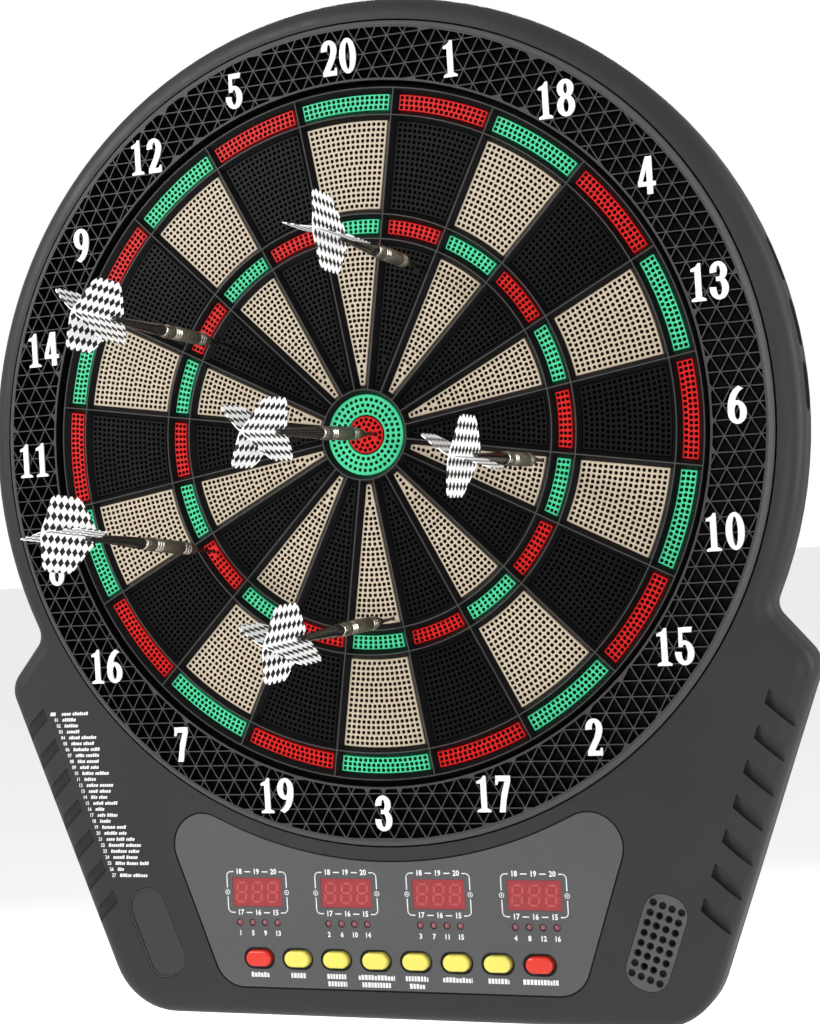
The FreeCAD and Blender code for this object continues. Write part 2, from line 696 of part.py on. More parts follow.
def plain_ring():
    ring = outward(turned([
        (RING_IN_R, Y_LATTICE), (RING_TOP_R, Y_LATTICE), (RING_R, Y_LATTICE + 2.8),
        (RING_R, 1.0), (RING_FLANGE_R, 1.0), (RING_FLANGE_R, RING_REAR),
        (RING_IN_R, RING_REAR)]))
    ring = ring.fuse([cyl(x, z, RING_BOSS_R, RING_REAR - 0.5, 11.8) for x, z in MATRIX_SCREWS])
    ring = ring.cut([cyl(x, z, PILOT_R, 4.0, 13.0) for x, z in MATRIX_SCREWS])
    return ring.removeSplitter().Solids[0]


def number_ring():
    """the plain ring, put together again face by face with the pockets let in"""
    faces = []
    for face in plain_ring().Faces:
        bounds = face.BoundBox
        if abs(bounds.YMin - Y_LATTICE) < 1e-6 and abs(bounds.YMax - Y_LATTICE) < 1e-6:
            top_wires = face.Wires
        else:
            faces.append(face)
    rims = sorted(top_wires, key=lambda wire: -wire.BoundBox.XLength)
    mouths = [polygon_wire([at(x, z, Y_LATTICE) for x, z in outline])
              for outline in lattice_pockets()]
    top = Part.Face([rims[0], rims[1]] + mouths)
    if top.normalAt(0, 0).y > 0:
        top.reverse()
    faces.append(top)
    # the walls of each pocket share the edges of its mouth
    for mouth in mouths:
        pocket = outward(Part.Face(mouth).extrude(Vector(0, LATTICE_DEPTH, 0)))
        for face in pocket.Faces:
            if face.BoundBox.YMax >= Y_LATTICE + 1e-6:
                face.reverse()
                faces.append(face)
    return outward(Part.Solid(Part.Shell(faces)))


save("number_ring", number_ring())

# ---------------------------------------------------------------------------
# Numerals 1..20: bold condensed figures, upright, proud of the lattice.
# Figures are drawn on a grid 17 high and scaled to the numeral height.
# ---------------------------------------------------------------------------
NUMERAL_H = 17.8
NUMERAL_CIRCLE = 188.5
GRID_SCALE = NUMERAL_H / 17.0
GRID_W, GRID_ADVANCE = 8.4, 9.2
ONE_W = 7.2               # width of the lone figure 1
PEN_X, PEN_Z = 1.5, 0.95  # half axes of the elliptical pen


def plate(points, over=0.0):
    """flat piece of a figure; over lengthens it at both ends"""
    points = without_short_sides([(x * GRID_SCALE, z * GRID_SCALE) for x, z in points], 0.02)
    return prism(points, Y_NUMERAL - over, Y_LATTICE + over)


def ellipse_points(cx, cz, rx, rz, start, end, steps):
    angles = [math.radians(start + (end - start) * i / steps) for i in range(steps + 1)]
    return [(cx + rx * math.cos(a), cz + rz * math.sin(a)) for a in angles]


def bow(cx, cz, rx, rz, start, end, steps=18):
    """part of an ellipse drawn with the pen"""
    return plate(ellipse_points(cx, cz, rx + PEN_X, rz + PEN_Z, start, end, steps)
                 + ellipse_points(cx, cz, rx - PEN_X, rz - PEN_Z, start, end, steps)[::-1])


def loop(cx, cz, rx, rz):
    """full ellipse drawn with the pen"""
    outer = ellipse_points(cx, cz, rx + PEN_X, rz + PEN_Z, 0, 360, 36)[:-1]
    inner = ellipse_points(cx, cz, rx - PEN_X, rz - PEN_Z, 0, 360, 36)[:-1]
    return plate(outer).cut(plate(inner, 1))


def stroke(path):
    """open path drawn with the pen, with flat ends"""
    left, right = [], []
    for i, (x, z) in enumerate(path):
        before, after = path[max(0, i - 1)], path[min(len(path) - 1, i + 1)]
        dx, dz = after[0] - before[0], after[1] - before[1]
        length = math.hypot(dx, dz)
        nx, nz = -dz / length, dx / length
        reach = math.sqrt((PEN_X * nx) ** 2 + (PEN_Z * nz) ** 2)
        off_x, off_z = PEN_X * PEN_X * nx / reach, PEN_Z * PEN_Z * nz / reach
        left.append((x + off_x, z + off_z))
        right.append((x - off_x, z - off_z))
    return plate(left + right[::-1])


# pieces of each figure, in grid units (x, z)
FIGURE_PIECES = {
    "0": [loop(4.2, 8.5, 2.75, 7.5)],
    "1": [plate([(2.3, 1.0), (5.1, 1.0), (5.1, 17.0), (3.9, 17.0), (2.9, 15.6), (0.5, 14.5),
                 (0.5, 13.4), (2.3, 13.4)]),
          plate([(0.3, 0.0), (7.0, 0.0), (7.0, 1.0), (5.1, 1.9), (2.3, 1.9), (0.3, 1.0)])],
    "2": [bow(3.9, 12.4, 2.5, 3.65, 188, -8),
          stroke([(6.4, 12.6), (6.25, 11.0), (5.4, 8.2), (3.9, 5.3), (2.6, 3.0), (1.9, 1.3)]),
          plate([(0.4, 0.0), (7.5, 0.0), (7.5, 3.6), (6.7, 3.6), (6.2, 2.3), (0.6, 2.3)])],
    "3": [bow(3.8, 12.6, 2.4, 3.45, 188, -80),
          bow(3.8, 5.1, 2.8, 4.15, 85, -188, 24),
          plate([(2.6, 8.2), (4.6, 8.2), (4.6, 10.2), (2.6, 10.2)])],
    "4": [plate([(4.2, 0.0), (6.9, 0.0), (6.9, 17.0), (4.2, 17.0)]),
          plate([(0.2, 3.7), (8.3, 3.7), (8.3, 5.7), (0.2, 5.7)]),
          plate([(0.2, 4.2), (2.2, 5.5), (6.0, 17.0), (4.0, 17.0), (0.2, 5.7)])],
    "5": [plate([(1.3, 14.7), (7.2, 14.7), (7.6, 17.2), (1.3, 17.0)]),
          plate([(1.1, 8.2), (3.0, 8.2), (3.0, 15.0), (1.3, 15.0)]),
          bow(3.7, 5.6, 2.9, 4.65, 128, -186, 24)],
    "6": [loop(4.2, 5.3, 2.75, 4.3),
          stroke([(1.45, 5.6), (1.5, 8.0), (1.95, 10.4), (2.9, 12.9), (4.4, 15.0),
                  (6.3, 16.3)])],
    "7": [plate([(0.7, 14.4), (7.9, 14.4), (7.9, 17.0), (0.7, 17.0)]),
          plate([(0.5, 12.7), (1.4, 12.7), (2.2, 14.6), (0.6, 14.6)]),
          plate([(1.9, 0.0), (4.7, 0.0), (5.6, 6.0), (7.9, 14.6), (7.9, 16.0), (5.3, 14.6),
                 (3.4, 9.0)])],
    "8": [loop(4.2, 12.75, 2.45, 3.35), loop(4.2, 4.95, 2.75, 4.05)],
}


def figure(pieces):
    shape = pieces[0]
    if len(pieces) > 1:
        shape = shape.multiFuse(pieces[1:])
    return refined(shape)


def numerals():
    figures = {name: figure(pieces) for name, pieces in FIGURE_PIECES.items()}
    # 9 is 6 turned upside down about the middle of the grid
    figures["9"] = figures["6"].copy()
    figures["9"].rotate(at(4.2 * GRID_SCALE, 8.5 * GRID_SCALE), AXIS_Y, 180)
    solids = []
    for i, number in enumerate(SECTOR_ORDER):
        cx, cz = polar(NUMERAL_CIRCLE, 90 - SECTOR_ANGLE * i)
        text = str(number)
        width = (GRID_W + GRID_ADVANCE * (len(text) - 1)) * GRID_SCALE
        if text == "1":
            width = ONE_W
        for j, name in enumerate(text):
            shape = figures[name].copy()
            shape.translate(at(cx - width / 2 + j * GRID_ADVANCE * GRID_SCALE,
                               cz - NUMERAL_H / 2))
            solids += shape.Solids
    return solids


save("numerals", numerals())

# ---------------------------------------------------------------------------
# Spider: ribs with a triangular crest round and between the segments
# ---------------------------------------------------------------------------
CREST_Y = -2.7
CREST_HALF = 0.25
RIB_SHOULDER = 0.3
RIB_BODY = 5.5
RIB_WEB = 8.0
WEB_HALF = 0.9
RIB_CLEAR = 0.12
SPIDER_R = 175.2
SPIDER_FLANGE_R = 184.0
SPIDER_SKIRT_R = SPIDER_FLANGE_R - 2.5


def rib_profile(half):
    """(offset from the centre line, y)"""
    return [(-half, RIB_SHOULDER), (-CREST_HALF, CREST_Y), (CREST_HALF, CREST_Y),
            (half, RIB_SHOULDER), (half, RIB_BODY), (WEB_HALF, RIB_BODY), (WEB_HALF, RIB_WEB),
            (-WEB_HALF, RIB_WEB), (-WEB_HALF, RIB_BODY), (-half, RIB_BODY)]


def radial_rib(degrees, r0, r1):
    across_x, across_z = polar(1, degrees + 90)
    out_x, out_z = polar(1, degrees)
    points = [at(out_x * r0 + across_x * offset, out_z * r0 + across_z * offset, y)
              for offset, y in rib_profile(HALF_GAP - RIB_CLEAR)]
    return polygon_face(points).extrude(at(out_x, out_z) * (r1 - r0))


def spider():
    gaps = zip([BULL_OUT_R] + [band[1] for band in BANDS[:3]], [band[0] for band in BANDS])
    rings = [(0.5 * (lo + hi), 0.5 * (hi - lo) - RIB_CLEAR) for lo, hi in gaps]
    ribs = [turned([(centre + offset, y) for offset, y in rib_profile(half)])
            for centre, half in rings]
    # outer rim with the flange that sits behind the number ring
    rim_in = BANDS[3][1] + RIB_CLEAR
    rim_mid = 0.5 * (rim_in + SPIDER_R)
    ribs.append(turned([
        (rim_in, RIB_SHOULDER), (rim_mid - CREST_HALF, CREST_Y),
        (rim_mid + CREST_HALF, CREST_Y), (SPIDER_R, RIB_SHOULDER), (SPIDER_R, 3.2),
        (SPIDER_FLANGE_R, 3.2), (SPIDER_FLANGE_R, 9.5), (SPIDER_SKIRT_R, 9.5),
        (SPIDER_SKIRT_R, 5.7), (rim_mid + WEB_HALF, 5.7), (rim_mid + WEB_HALF, RIB_WEB),
        (rim_mid - WEB_HALF, RIB_WEB), (rim_mid - WEB_HALF, RIB_BODY), (rim_in, RIB_BODY)]))
    inner_r = rings[0][0]
    ribs += [radial_rib(90 - SECTOR_ANGLE * (i + 0.5), inner_r, rim_mid) for i in range(20)]
    web = ribs[0].multiFuse(ribs[1:])
    # nothing may reach into the bull
    web = web.cut(cyl(0, 0, BULL_OUT_R + RIB_CLEAR, -6, RIB_BODY))
    web = web.cut(cyl(0, 0, inner_r - WEB_HALF, RIB_BODY - 0.01, 12))
    return largest(refined(web))


save("spider", spider())

# ---------------------------------------------------------------------------
# Soft-tip darts: tip, barrel, shaft and flight.  A dart is made along +Z with
# z = 0 at the segment face, then laid on its axis.
# ---------------------------------------------------------------------------
# name: x and z on the segment face, lean in x and in z (degrees), directions of the
# four vanes about the dart's axis (degrees); folded flights never open quite square
DARTS = {
    "dart_1": (33.3, 81.0, 3.2, 0.5, (98, 168, 276, 345)),
    "dart_2": (-74.8, 52.1, -1.1, 2.4, (56, 135, 244, 308)),
    "dart_3": (5.2, 0.0, -1.3, -0.7, (54, 134, 239, 309)),
    "dart_4": (91.3, -19.0, 2.0, 0.1, (78, 146, 260, 341)),
    "dart_5": (-88.5, -53.8, -4.8, 5.6, (79, 182, 255, 359)),
    "dart_6": (8.7, -92.4, -0.8, -1.0, (75, 149, 258, 328)),
}
BULL_DART = "dart_3"
TIP_DEPTH = 5.0
BARREL_START, BARREL_END = 20.2, 65.4
BARREL_R = 3.4
FLIGHT_START, FLIGHT_END = 103.0, 146.0
FLIGHT_HALF = 17.7        # from the axis to the edge of a vane
# vane outline: (distance behind the start of the flight, distance from the axis)
VANE = [(0.0, 0.0), (0.0, 1.9), (1.2, 3.2), (6.0, 8.1), (10.5, 12.5), (14.5, 15.9),
        (16.5, 17.2), (18.5, FLIGHT_HALF), (32.5, FLIGHT_HALF), (35.8, 17.1), (38.0, 15.4),
        (42.8, 2.0), (43.0, 0.0)]
HOLE_R = 1.0
HOLE_DEPTH = TIP_DEPTH + 0.8


def dart_turned(profile):
    """profile of (z, radius) revolved about z"""
    points = ([(profile[0][0], 0)] + profile + [(profile[-1][0], 0)])
    face = polygon_face([Vector(radius, 0, z) for z, radius in points])
    return outward(face.revolve(ORIGIN, AXIS_Z, 360)).Solids[0]


def dart_barrel():
    start, end = BARREL_START, BARREL_END
    profile = [(start, 2.2), (start + 1.0, 2.75), (start + 5.0, 3.35)]
    # ring grooves near the nose and past the middle
    for first in (start + 6.0, start + 31.0):
        for i in range(3):
            z = first + i * 2.2
            profile += [(z, BARREL_R), (z + 0.35, 3.05), (z + 0.95, 3.05), (z + 1.3, BARREL_R)]
    profile += [(end - 3.5, BARREL_R), (end - 2.6, 3.15), (end - 1.0, 3.15), (end - 0.4, 2.9),
                (end, 2.6)]
    return dart_turned(profile)


def axial_sheet(points, half_t, degrees):
    """flat plate in a plane through the axis; points are (z, distance from the axis)"""
    face = polygon_face([Vector(reach, -half_t, z) for z, reach in points])
    sheet = face.extrude(Vector(0, 2 * half_t, 0))
    sheet.rotate(ORIGIN, AXIS_Z, degrees)
    return sheet


def dart_solids(vane_angles):
    start, end = FLIGHT_START, FLIGHT_END
    tip = dart_turned([(-TIP_DEPTH, 0.3), (-2.0, 0.55), (6.0, 0.8), (15.0, 1.05), (16.5, 1.9),
                       (BARREL_START - 0.05, 2.1)])
    shaft = dart_turned([(BARREL_END + 0.05, 2.7), (BARREL_END + 1.5, 3.0),
                         (BARREL_END + 9.0, 2.85), (start - 8.0, 2.0), (start + 1.0, 1.85),
                         (start + 9.0, 1.9), (start + 9.6, 1.5)])
    vane = [(start + behind, reach) for behind, reach in VANE]
    slot = [(start - 0.1, 0.0), (start - 0.1, 4.0), (end, 4.0), (end, 0.0)]
    flight = Part.makeCylinder(0.45, end - start - 1.0, Vector(0, 0, start))
    slots = [Part.makeCylinder(0.52, end - start, Vector(0, 0, start - 0.1))]
    for angle in vane_angles:
        flight = flight.fuse(axial_sheet(vane, 0.2, angle))
        slots.append(axial_sheet(slot, 0.24, angle))
    return [tip, dart_barrel(), shaft.cut(slots).Solids[0], flight.Solids[0]]


tip_holes = {}
for name, (x, z, lean_x, lean_z, vane_angles) in DARTS.items():
    axis = Vector(math.tan(math.radians(lean_x)), -1, math.tan(math.radians(lean_z)))
    axis.normalize()
    entry = at(x, z)
    placement = FreeCAD.Placement(entry, FreeCAD.Rotation(AXIS_Z, axis))
    solids = dart_solids(vane_angles)
    for solid in solids:
        solid.Placement = placement.multiply(solid.Placement)
    save(name, solids)
    tip_holes[name] = Part.makeCylinder(HOLE_R, HOLE_DEPTH + 2.0, entry - axis * HOLE_DEPTH,
                                        axis)


# ---------------------------------------------------------------------------
# Scoring segments
# ---------------------------------------------------------------------------
def segment_outline(r0, r1, gap, sector):
    """outline whose straight edges stay parallel to the ribs, gap from their centre lines"""
    middle = 90 - SECTOR_ANGLE * sector

    def corner(radius, side):
        half = SECTOR_ANGLE / 2 - math.degrees(math.asin(gap / radius))
        return polar(radius, middle + side * half)

    return [(corner(r0, 1), polar(r0, middle), corner(r0, -1)),
            (corner(r0, -1), corner(r1, -1)),
            (corner(r1, -1), polar(r1, middle), corner(r1, 1)),
            (corner(r1, 1), corner(r0, 1))]


def segment(r0, r1, sector):
    body = slab(segment_outline(r0, r1, HALF_GAP, sector), Y_SEGMENT, SEG_REAR)
    flange = slab(segment_outline(r0 - SEG_FLANGE, r1 + SEG_FLANGE, HALF_GAP - SEG_FLANGE,
                                  sector), SEG_FLANGE_Y, SEG_REAR)
    shape = body.fuse(flange).removeSplitter()
    for hole in tip_holes.values():
        centre = hole.BoundBox.Center
        if shape.BoundBox.isInside(Vector(centre.x, 3.0, centre.z)):
            shape = shape.cut(hole)
    return shape.Solids[0]


def bull_inner():
    body = cyl(0, 0, BULL_IN_R, Y_SEGMENT, SEG_REAR)
    body = body.fuse(cyl(0, 0, BULL_IN_FLANGE_R, SEG_FLANGE_Y + 0.5, SEG_REAR))
    return body.removeSplitter().cut(tip_holes[BULL_DART]).Solids[0]


def bull_outer():
    body = cyl(0, 0, BULL_OUT_R, Y_SEGMENT, SEG_REAR)
    body = body.fuse(cyl(0, 0, BULL_OUT_R + SEG_FLANGE, SEG_FLANGE_Y, SEG_REAR))
    body = body.cut([cyl(0, 0, BULL_OUT_HOLE_R, -1, 20),
                     cyl(0, 0, BULL_IN_FLANGE_R + 0.5, SEG_FLANGE_Y - 0.6, 20)])
    return body.removeSplitter().Solids[0]


for sector, number in enumerate(SECTOR_ORDER):
    save("sector_%d" % number, [segment(r0, r1, sector) for r0, r1 in BANDS])
save("bull_inner", bull_inner())
save("bull_outer", bull_outer())

# ---------------------------------------------------------------------------
# Contact stack
# ---------------------------------------------------------------------------
TAIL_X0, TAIL_X1 = 4.2, 13.6      # the membrane tails lie either side of x = 0
TAIL_END = -220.8


def membrane(y0, y1, x0, x1):
    """disc with a tail that hangs down to the circuit board"""
    tail = box(x0, x1, y0, y1, TAIL_END, -STACK_R + 6)
    return cyl(0, 0, STACK_R, y0, y1).fuse(tail).removeSplitter().Solids[0]


save("matrix_pad", cyl(0, 0, STACK_R, *PAD))
save("membrane_front", membrane(*MEMBRANE_FRONT, -TAIL_X1, -TAIL_X0))
save("membrane_rear", membrane(*MEMBRANE_REAR, TAIL_X0, TAIL_X1))
backing = cyl(0, 0, PLATE_R, *PLATE).cut(
    [cyl(x, z, CLEARANCE_R, 10, 20) for x, z in MATRIX_SCREWS])
save("backing_plate", backing.Solids[0])


# ---------------------------------------------------------------------------
# Control panel and what sits in and behind it
# ---------------------------------------------------------------------------
def control_panel():
    cuts = []
    for i, x in enumerate(WINDOW_X):
        cuts.append(box(x - WINDOW_W / 2, x + WINDOW_W / 2, -4, 1,
                        WINDOW_Z - WINDOW_H / 2, WINDOW_Z + WINDOW_H / 2))
        for led_x, led_z in LED_SPOTS[4 * i:4 * i + 4]:
            cuts.append(cyl(led_x, led_z, LED_R + LED_CLEAR, -4, 1))
    for x in BUTTON_X:
        cuts.append(capsule(x, BUTTON_Z, BUTTON_HOLE_W, BUTTON_HOLE_H, -4, 1))
    return slab(panel_outline(), PANEL_Y0, PANEL_Y1).cut(cuts).Solids[0]


def display_window(x):
    return slab(round_rect(x, WINDOW_Z, WINDOW_W - 0.2, WINDOW_H - 0.2, 0.4),
                PANEL_Y0 + 0.15, PANEL_Y1)


def display_module(x):
    return box(x - MODULE_W / 2, x + MODULE_W / 2, 0.2, PCB[0],
               WINDOW_Z - MODULE_H / 2, WINDOW_Z + MODULE_H / 2)


def player_led(x, z):
    dome_y, foot_y = PANEL_Y0 + 1.3, PCB[0] - 1.0
    body = cyl(x, z, LED_R, dome_y, foot_y)
    dome = Part.makeSphere(LED_R, at(x, z, dome_y))
    dome = dome.common(box(x - 3, x + 3, -6, dome_y, z - 3, z + 3))
    foot = cyl(x, z, LED_R + 0.3, foot_y, PCB[0])
    return body.fuse([dome, foot]).Solids[0]


def tact_switch(x):
    body = box(x - 3, x + 3, 6.4, PCB[0], BUTTON_Z - 3, BUTTON_Z + 3)
    return body.fuse(cyl(x, BUTTON_Z, 1.7, 5.6, 6.5)).Solids[0]


def button(x):
    cap = capsule(x, BUTTON_Z, BUTTON_W, BUTTON_H, BUTTON_TOP, 3.2)
    cap = cap.makeFillet(1.3, edges_at(cap, BUTTON_TOP))
    flange = capsule(x, BUTTON_Z, BUTTON_W + 3.0, BUTTON_H + 3.0, 2.3, 3.2)
    stem = cyl(x, BUTTON_Z, 1.9, 3.0, 4.6)
    return cap.fuse([flange, stem]).removeSplitter().Solids[0]


save("control_panel", control_panel())
save("display_windows", [display_window(x) for x in WINDOW_X])
save("display_modules", [display_module(x) for x in WINDOW_X])
save("player_leds", [player_led(x, z) for x, z in LED_SPOTS])
board = box(-96, 96, *PCB, -270, -220)
board = board.cut([cyl(x, z, CLEARANCE_R, 5, 12) for x, z in PCB_SCREWS])
save("main_pcb", board.Solids[0])

# blocks on the rear of the board: x0, x1, rear y, z0, z1
CONNECTORS = [(-14.4, 14.4, 13.0, -226.5, -221.0),
              (60, 68, 14.0, -232, -227),
              (40, 48, 14.0, -232, -227),
              (-40, -22, 12.2, -252, -238)]
save("pcb_connectors", [box(x0, x1, PCB[1], y1, z0, z1) for x0, x1, y1, z0, z1 in CONNECTORS])
save("tact_switches", [tact_switch(x) for x in BUTTON_X])
for i, x in enumerate(BUTTON_X):
    save("button_%d" % (i + 1), button(x))

# ---------------------------------------------------------------------------
# Grille on the right foot, blank cap on the left one, speaker and leads
# ---------------------------------------------------------------------------
GRILLE_ROWS, GRILLE_COLS = 8, 4
GRILLE_ROW_PITCH, GRILLE_COL_PITCH = 5.15, 4.75
LEAD_R = 0.55
LEAD_PITCH = 2.2


def speaker_grille():
    holes = []
    for i in range(GRILLE_ROWS):
        for j in range(GRILLE_COLS):
            across = (j - (GRILLE_COLS - 1) / 2) * GRILLE_COL_PITCH
            along = (i - (GRILLE_ROWS - 1) / 2) * GRILLE_ROW_PITCH
            x = INSET_X + across * FLANK_COS + along * FLANK_SIN
            z = INSET_Z - across * FLANK_SIN + along * FLANK_COS
            # hole and its countersink
            holes += [cyl(x, z, 1.25, -5, 3), cone(x, z, 1.95, 1.2, Y_FRONT, 0.8)]
    return slab(foot_inset(1), INSET_Y0, INSET_Y1).cut(holes).Solids[0]


def blank_cap():
    dish = slab(foot_inset(-1, -2.0), Y_FRONT - 1, Y_FRONT + 0.55)
    return slab(foot_inset(-1), INSET_Y0, INSET_Y1).cut(dish).Solids[0]


def speaker():
    body = cyl(INSET_X, INSET_Z, SPEAKER_R, 5.2, 7.4)
    body = body.fuse([cone(INSET_X, INSET_Z, 13.0, 8.0, 7.4, 2.6),
                      cyl(INSET_X, INSET_Z, 8.5, 10.0, 13.0)])
    body = body.cut(cone(INSET_X, INSET_Z, 12.4, 5.0, 5.2, 1.6))
    return body.removeSplitter().Solids[0]


def lead(points):
    """round wire along a path, with balls at its bends"""
    runs = [Part.makeCylinder(LEAD_R, (end - start).Length, start, end - start)
            for start, end in zip(points[:-1], points[1:])]
    bends = [Part.makeSphere(LEAD_R, point) for point in points[1:-1]]
    return runs[0].multiFuse(runs[1:] + bends).Solids[0]


def leads():
    """a pair to the speaker and a pair to the battery tray"""
    wires = []
    for shift in (0.0, LEAD_PITCH):
        wires.append(lead([Vector(62.6 + shift, 14.1, -229.5),
                           Vector(62.6 + shift, 15.4, -229.5),
                           Vector(100, 15.4, -236 - shift),
                           Vector(INSET_X - 9.2, 11.5, INSET_Z + 2 - shift)]))
        wires.append(lead([Vector(42.6 + shift, 14.1, -229.5),
                           Vector(42.6 + shift, 15.9, -229.5),
                           Vector(36, 15.9, -227.9 - shift),
                           Vector(29.6, 18.0, -228 - shift)]))
    return wires


save("speaker_grille", speaker_grille())
save("blank_cap", blank_cap())
save("speaker", speaker())
save("leads", leads())


# ---------------------------------------------------------------------------
# Screws
# ---------------------------------------------------------------------------
def screw(x, z, seat):
    """screw driven from the rear, its head resting on y = seat"""
    head = cyl(x, z, SCREW_HEAD_R, seat, seat + SCREW_HEAD_H)
    head = head.makeFillet(0.6, [e for e in head.Edges if isinstance(e.Curve, Part.Circle)
                                 and e.Vertexes[0].Point.y > seat + 1.9])
    body = head.fuse(cyl(x, z, SCREW_R, seat - SCREW_L, seat + 0.5)).removeSplitter()
    # cross recess
    recess = [box(x - half_x, x + half_x, seat + 1.1, seat + 3, z - half_z, z + half_z)
              for half_x, half_z in ((1.5, 0.3), (0.3, 1.5))]
    return body.cut(recess).Solids[0]


save("screws", [screw(x, z, seat)
                for places, seat in ((CASE_SCREWS, CASE_SCREW_SEAT), (MATRIX_SCREWS, PLATE[1]),
                                     (PCB_SCREWS, PCB[1]))
                for x, z in places])
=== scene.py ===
"""Electronic dartboard with six thrown darts, on a pale floor.

The board faces -Y, with X to the viewer's right and Z up. The bull's centre is the origin
and the faces of the scoring segments lie at y = 0. Lengths are in mm, turned into metres by
MM, except for the floor and lights, which are in metres. Colours are linear RGB.
"""
import functools
import math
import random
from collections import namedtuple

import bpy
from mathutils import Matrix, Vector
from mathutils.geometry import delaunay_2d_cdt


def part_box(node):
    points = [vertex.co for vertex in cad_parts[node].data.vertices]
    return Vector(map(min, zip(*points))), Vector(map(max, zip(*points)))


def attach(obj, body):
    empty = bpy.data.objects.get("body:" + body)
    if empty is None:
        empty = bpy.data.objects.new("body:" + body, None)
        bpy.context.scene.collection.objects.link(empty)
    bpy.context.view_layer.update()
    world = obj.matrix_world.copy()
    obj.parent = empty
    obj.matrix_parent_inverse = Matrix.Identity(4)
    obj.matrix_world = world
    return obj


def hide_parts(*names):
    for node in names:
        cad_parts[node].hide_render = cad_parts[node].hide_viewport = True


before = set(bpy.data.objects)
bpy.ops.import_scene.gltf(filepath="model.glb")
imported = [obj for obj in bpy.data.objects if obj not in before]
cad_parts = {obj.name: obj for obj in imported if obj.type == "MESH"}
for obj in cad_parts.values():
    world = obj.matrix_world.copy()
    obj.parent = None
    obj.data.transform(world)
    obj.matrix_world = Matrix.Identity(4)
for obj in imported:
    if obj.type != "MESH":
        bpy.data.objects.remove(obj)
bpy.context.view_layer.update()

MM = 0.001
rng = random.Random(20)
scene = bpy.context.scene


# ---------------------------------------------------------------------------
# shader building blocks
# ---------------------------------------------------------------------------
MATERIALS = {}


class Nodes:
    """Short calls that add shader nodes to an emptied tree."""

    def __init__(self, tree):
        self.tree = tree
        tree.nodes.clear()

    def feed(self, socket, value):
        """Link a socket to an output, or give it a plain value."""
        if isinstance(value, bpy.types.NodeSocket):
            self.tree.links.new(value, socket)
        elif socket.type == "RGBA":
            socket.default_value = (*value, 1.0)
        else:
            socket.default_value = value

    def node(self, kind, inputs=None, **settings):
        node = self.tree.nodes.new("ShaderNode" + kind)
        for setting, value in settings.items():
            setattr(node, setting, value)
        for socket, value in (inputs or {}).items():
            self.feed(node.inputs[socket], value)
        return node

    def coords(self, stretch=(1.0, 1.0, 1.0)):
        position = self.node("TexCoord").outputs["Object"]
        mapping = self.node("Mapping", {"Scale": stretch, "Vector": position})
        return mapping.outputs["Vector"]

    def uv_axes(self):
        uv = self.node("TexCoord").outputs["UV"]
        return self.node("SeparateXYZ", {0: uv}).outputs

    def noise(self, vector, scale, detail=3.0, rough=0.55, distortion=0.0):
        inputs = {"Scale": scale, "Detail": detail, "Roughness": rough,
                  "Distortion": distortion, "Vector": vector}
        return self.node("TexNoise", inputs).outputs["Fac"]

    def remap(self, value, span=(0.3, 0.7), to=(0.0, 1.0)):
        """Map span onto to, clamped. The default span is the bulk of a noise."""
        inputs = {"From Min": span[0], "From Max": span[1],
                  "To Min": to[0], "To Max": to[1], "Value": value}
        return self.node("MapRange", inputs, clamp=True).outputs["Result"]

    def math(self, operation, *values):
        return self.node("Math", dict(enumerate(values)), operation=operation).outputs[0]

    def mix(self, factor, colour_0, colour_1):
        # sockets 6, 7 and output 2 are the colour ones of the Mix node
        inputs = {0: factor, 6: colour_0, 7: colour_1}
        return self.node("Mix", inputs, data_type="RGBA").outputs[2]

    def bump(self, height, strength, depth, normal=None):
        """A bump whose depth is in mm, laid over an earlier normal if there is one."""
        inputs = {"Strength": strength, "Distance": depth * MM, "Height": height}
        if normal is not None:
            inputs["Normal"] = normal
        return self.node("Bump", inputs).outputs["Normal"]


class Surface(Nodes):
    """A new material with one Principled shader, kept in MATERIALS."""

    def __init__(self, name):
        self.material = bpy.data.materials.new(name)
        self.material.use_nodes = True
        super().__init__(self.material.node_tree)
        output = self.node("OutputMaterial")
        self.shader = self.node("BsdfPrincipled")
        self.feed(output.inputs[0], self.shader.outputs[0])
        # the material carries the name of its main shader node
        self.material["bsdf"] = self.shader.name
        MATERIALS[name] = self.material

    def shade(self, inputs):
        for socket, value in inputs.items():
            self.feed(self.shader.inputs[socket], value)


def scaled(colour, factor):
    return tuple(min(1.0, channel * factor) for channel in colour)


# ---------------------------------------------------------------------------
# kinds of material
# ---------------------------------------------------------------------------
def front_painted_light(look, base, position, blotches, at, blur, colour):
    """Paler in front of y = at, patchy: a painted highlight on raised tops, or painted shade
    behind a face when the base is dark.
    """
    axes = look.node("SeparateXYZ", {0: position}).outputs
    in_front = look.remap(axes["Y"], span=((at - blur) * MM, (at + blur) * MM), to=(1, 0))
    patchy = look.remap(blotches, span=(0.25, 0.75), to=(0.72, 1.0))
    return look.mix(look.math("MULTIPLY", in_front, patchy), base, colour)


def rim_painted_highlight(look, base, position, at, blur, colour):
    """Paler beyond the radius at, in front of y = -2.2: a painted highlight on the bevelled
    edge.
    """
    axes = look.node("SeparateXYZ", {0: position}).outputs
    x_squared = look.math("MULTIPLY", axes["X"], axes["X"])
    z_squared = look.math("MULTIPLY", axes["Z"], axes["Z"])
    radius = look.math("SQRT", look.math("ADD", x_squared, z_squared))
    beyond = look.remap(radius, span=((at - blur) * MM, (at + blur) * MM))
    in_front = look.remap(axes["Y"], span=(-2.4 * MM, -2.2 * MM), to=(1, 0))
    return look.mix(look.math("MULTIPLY", beyond, in_front), base, colour)


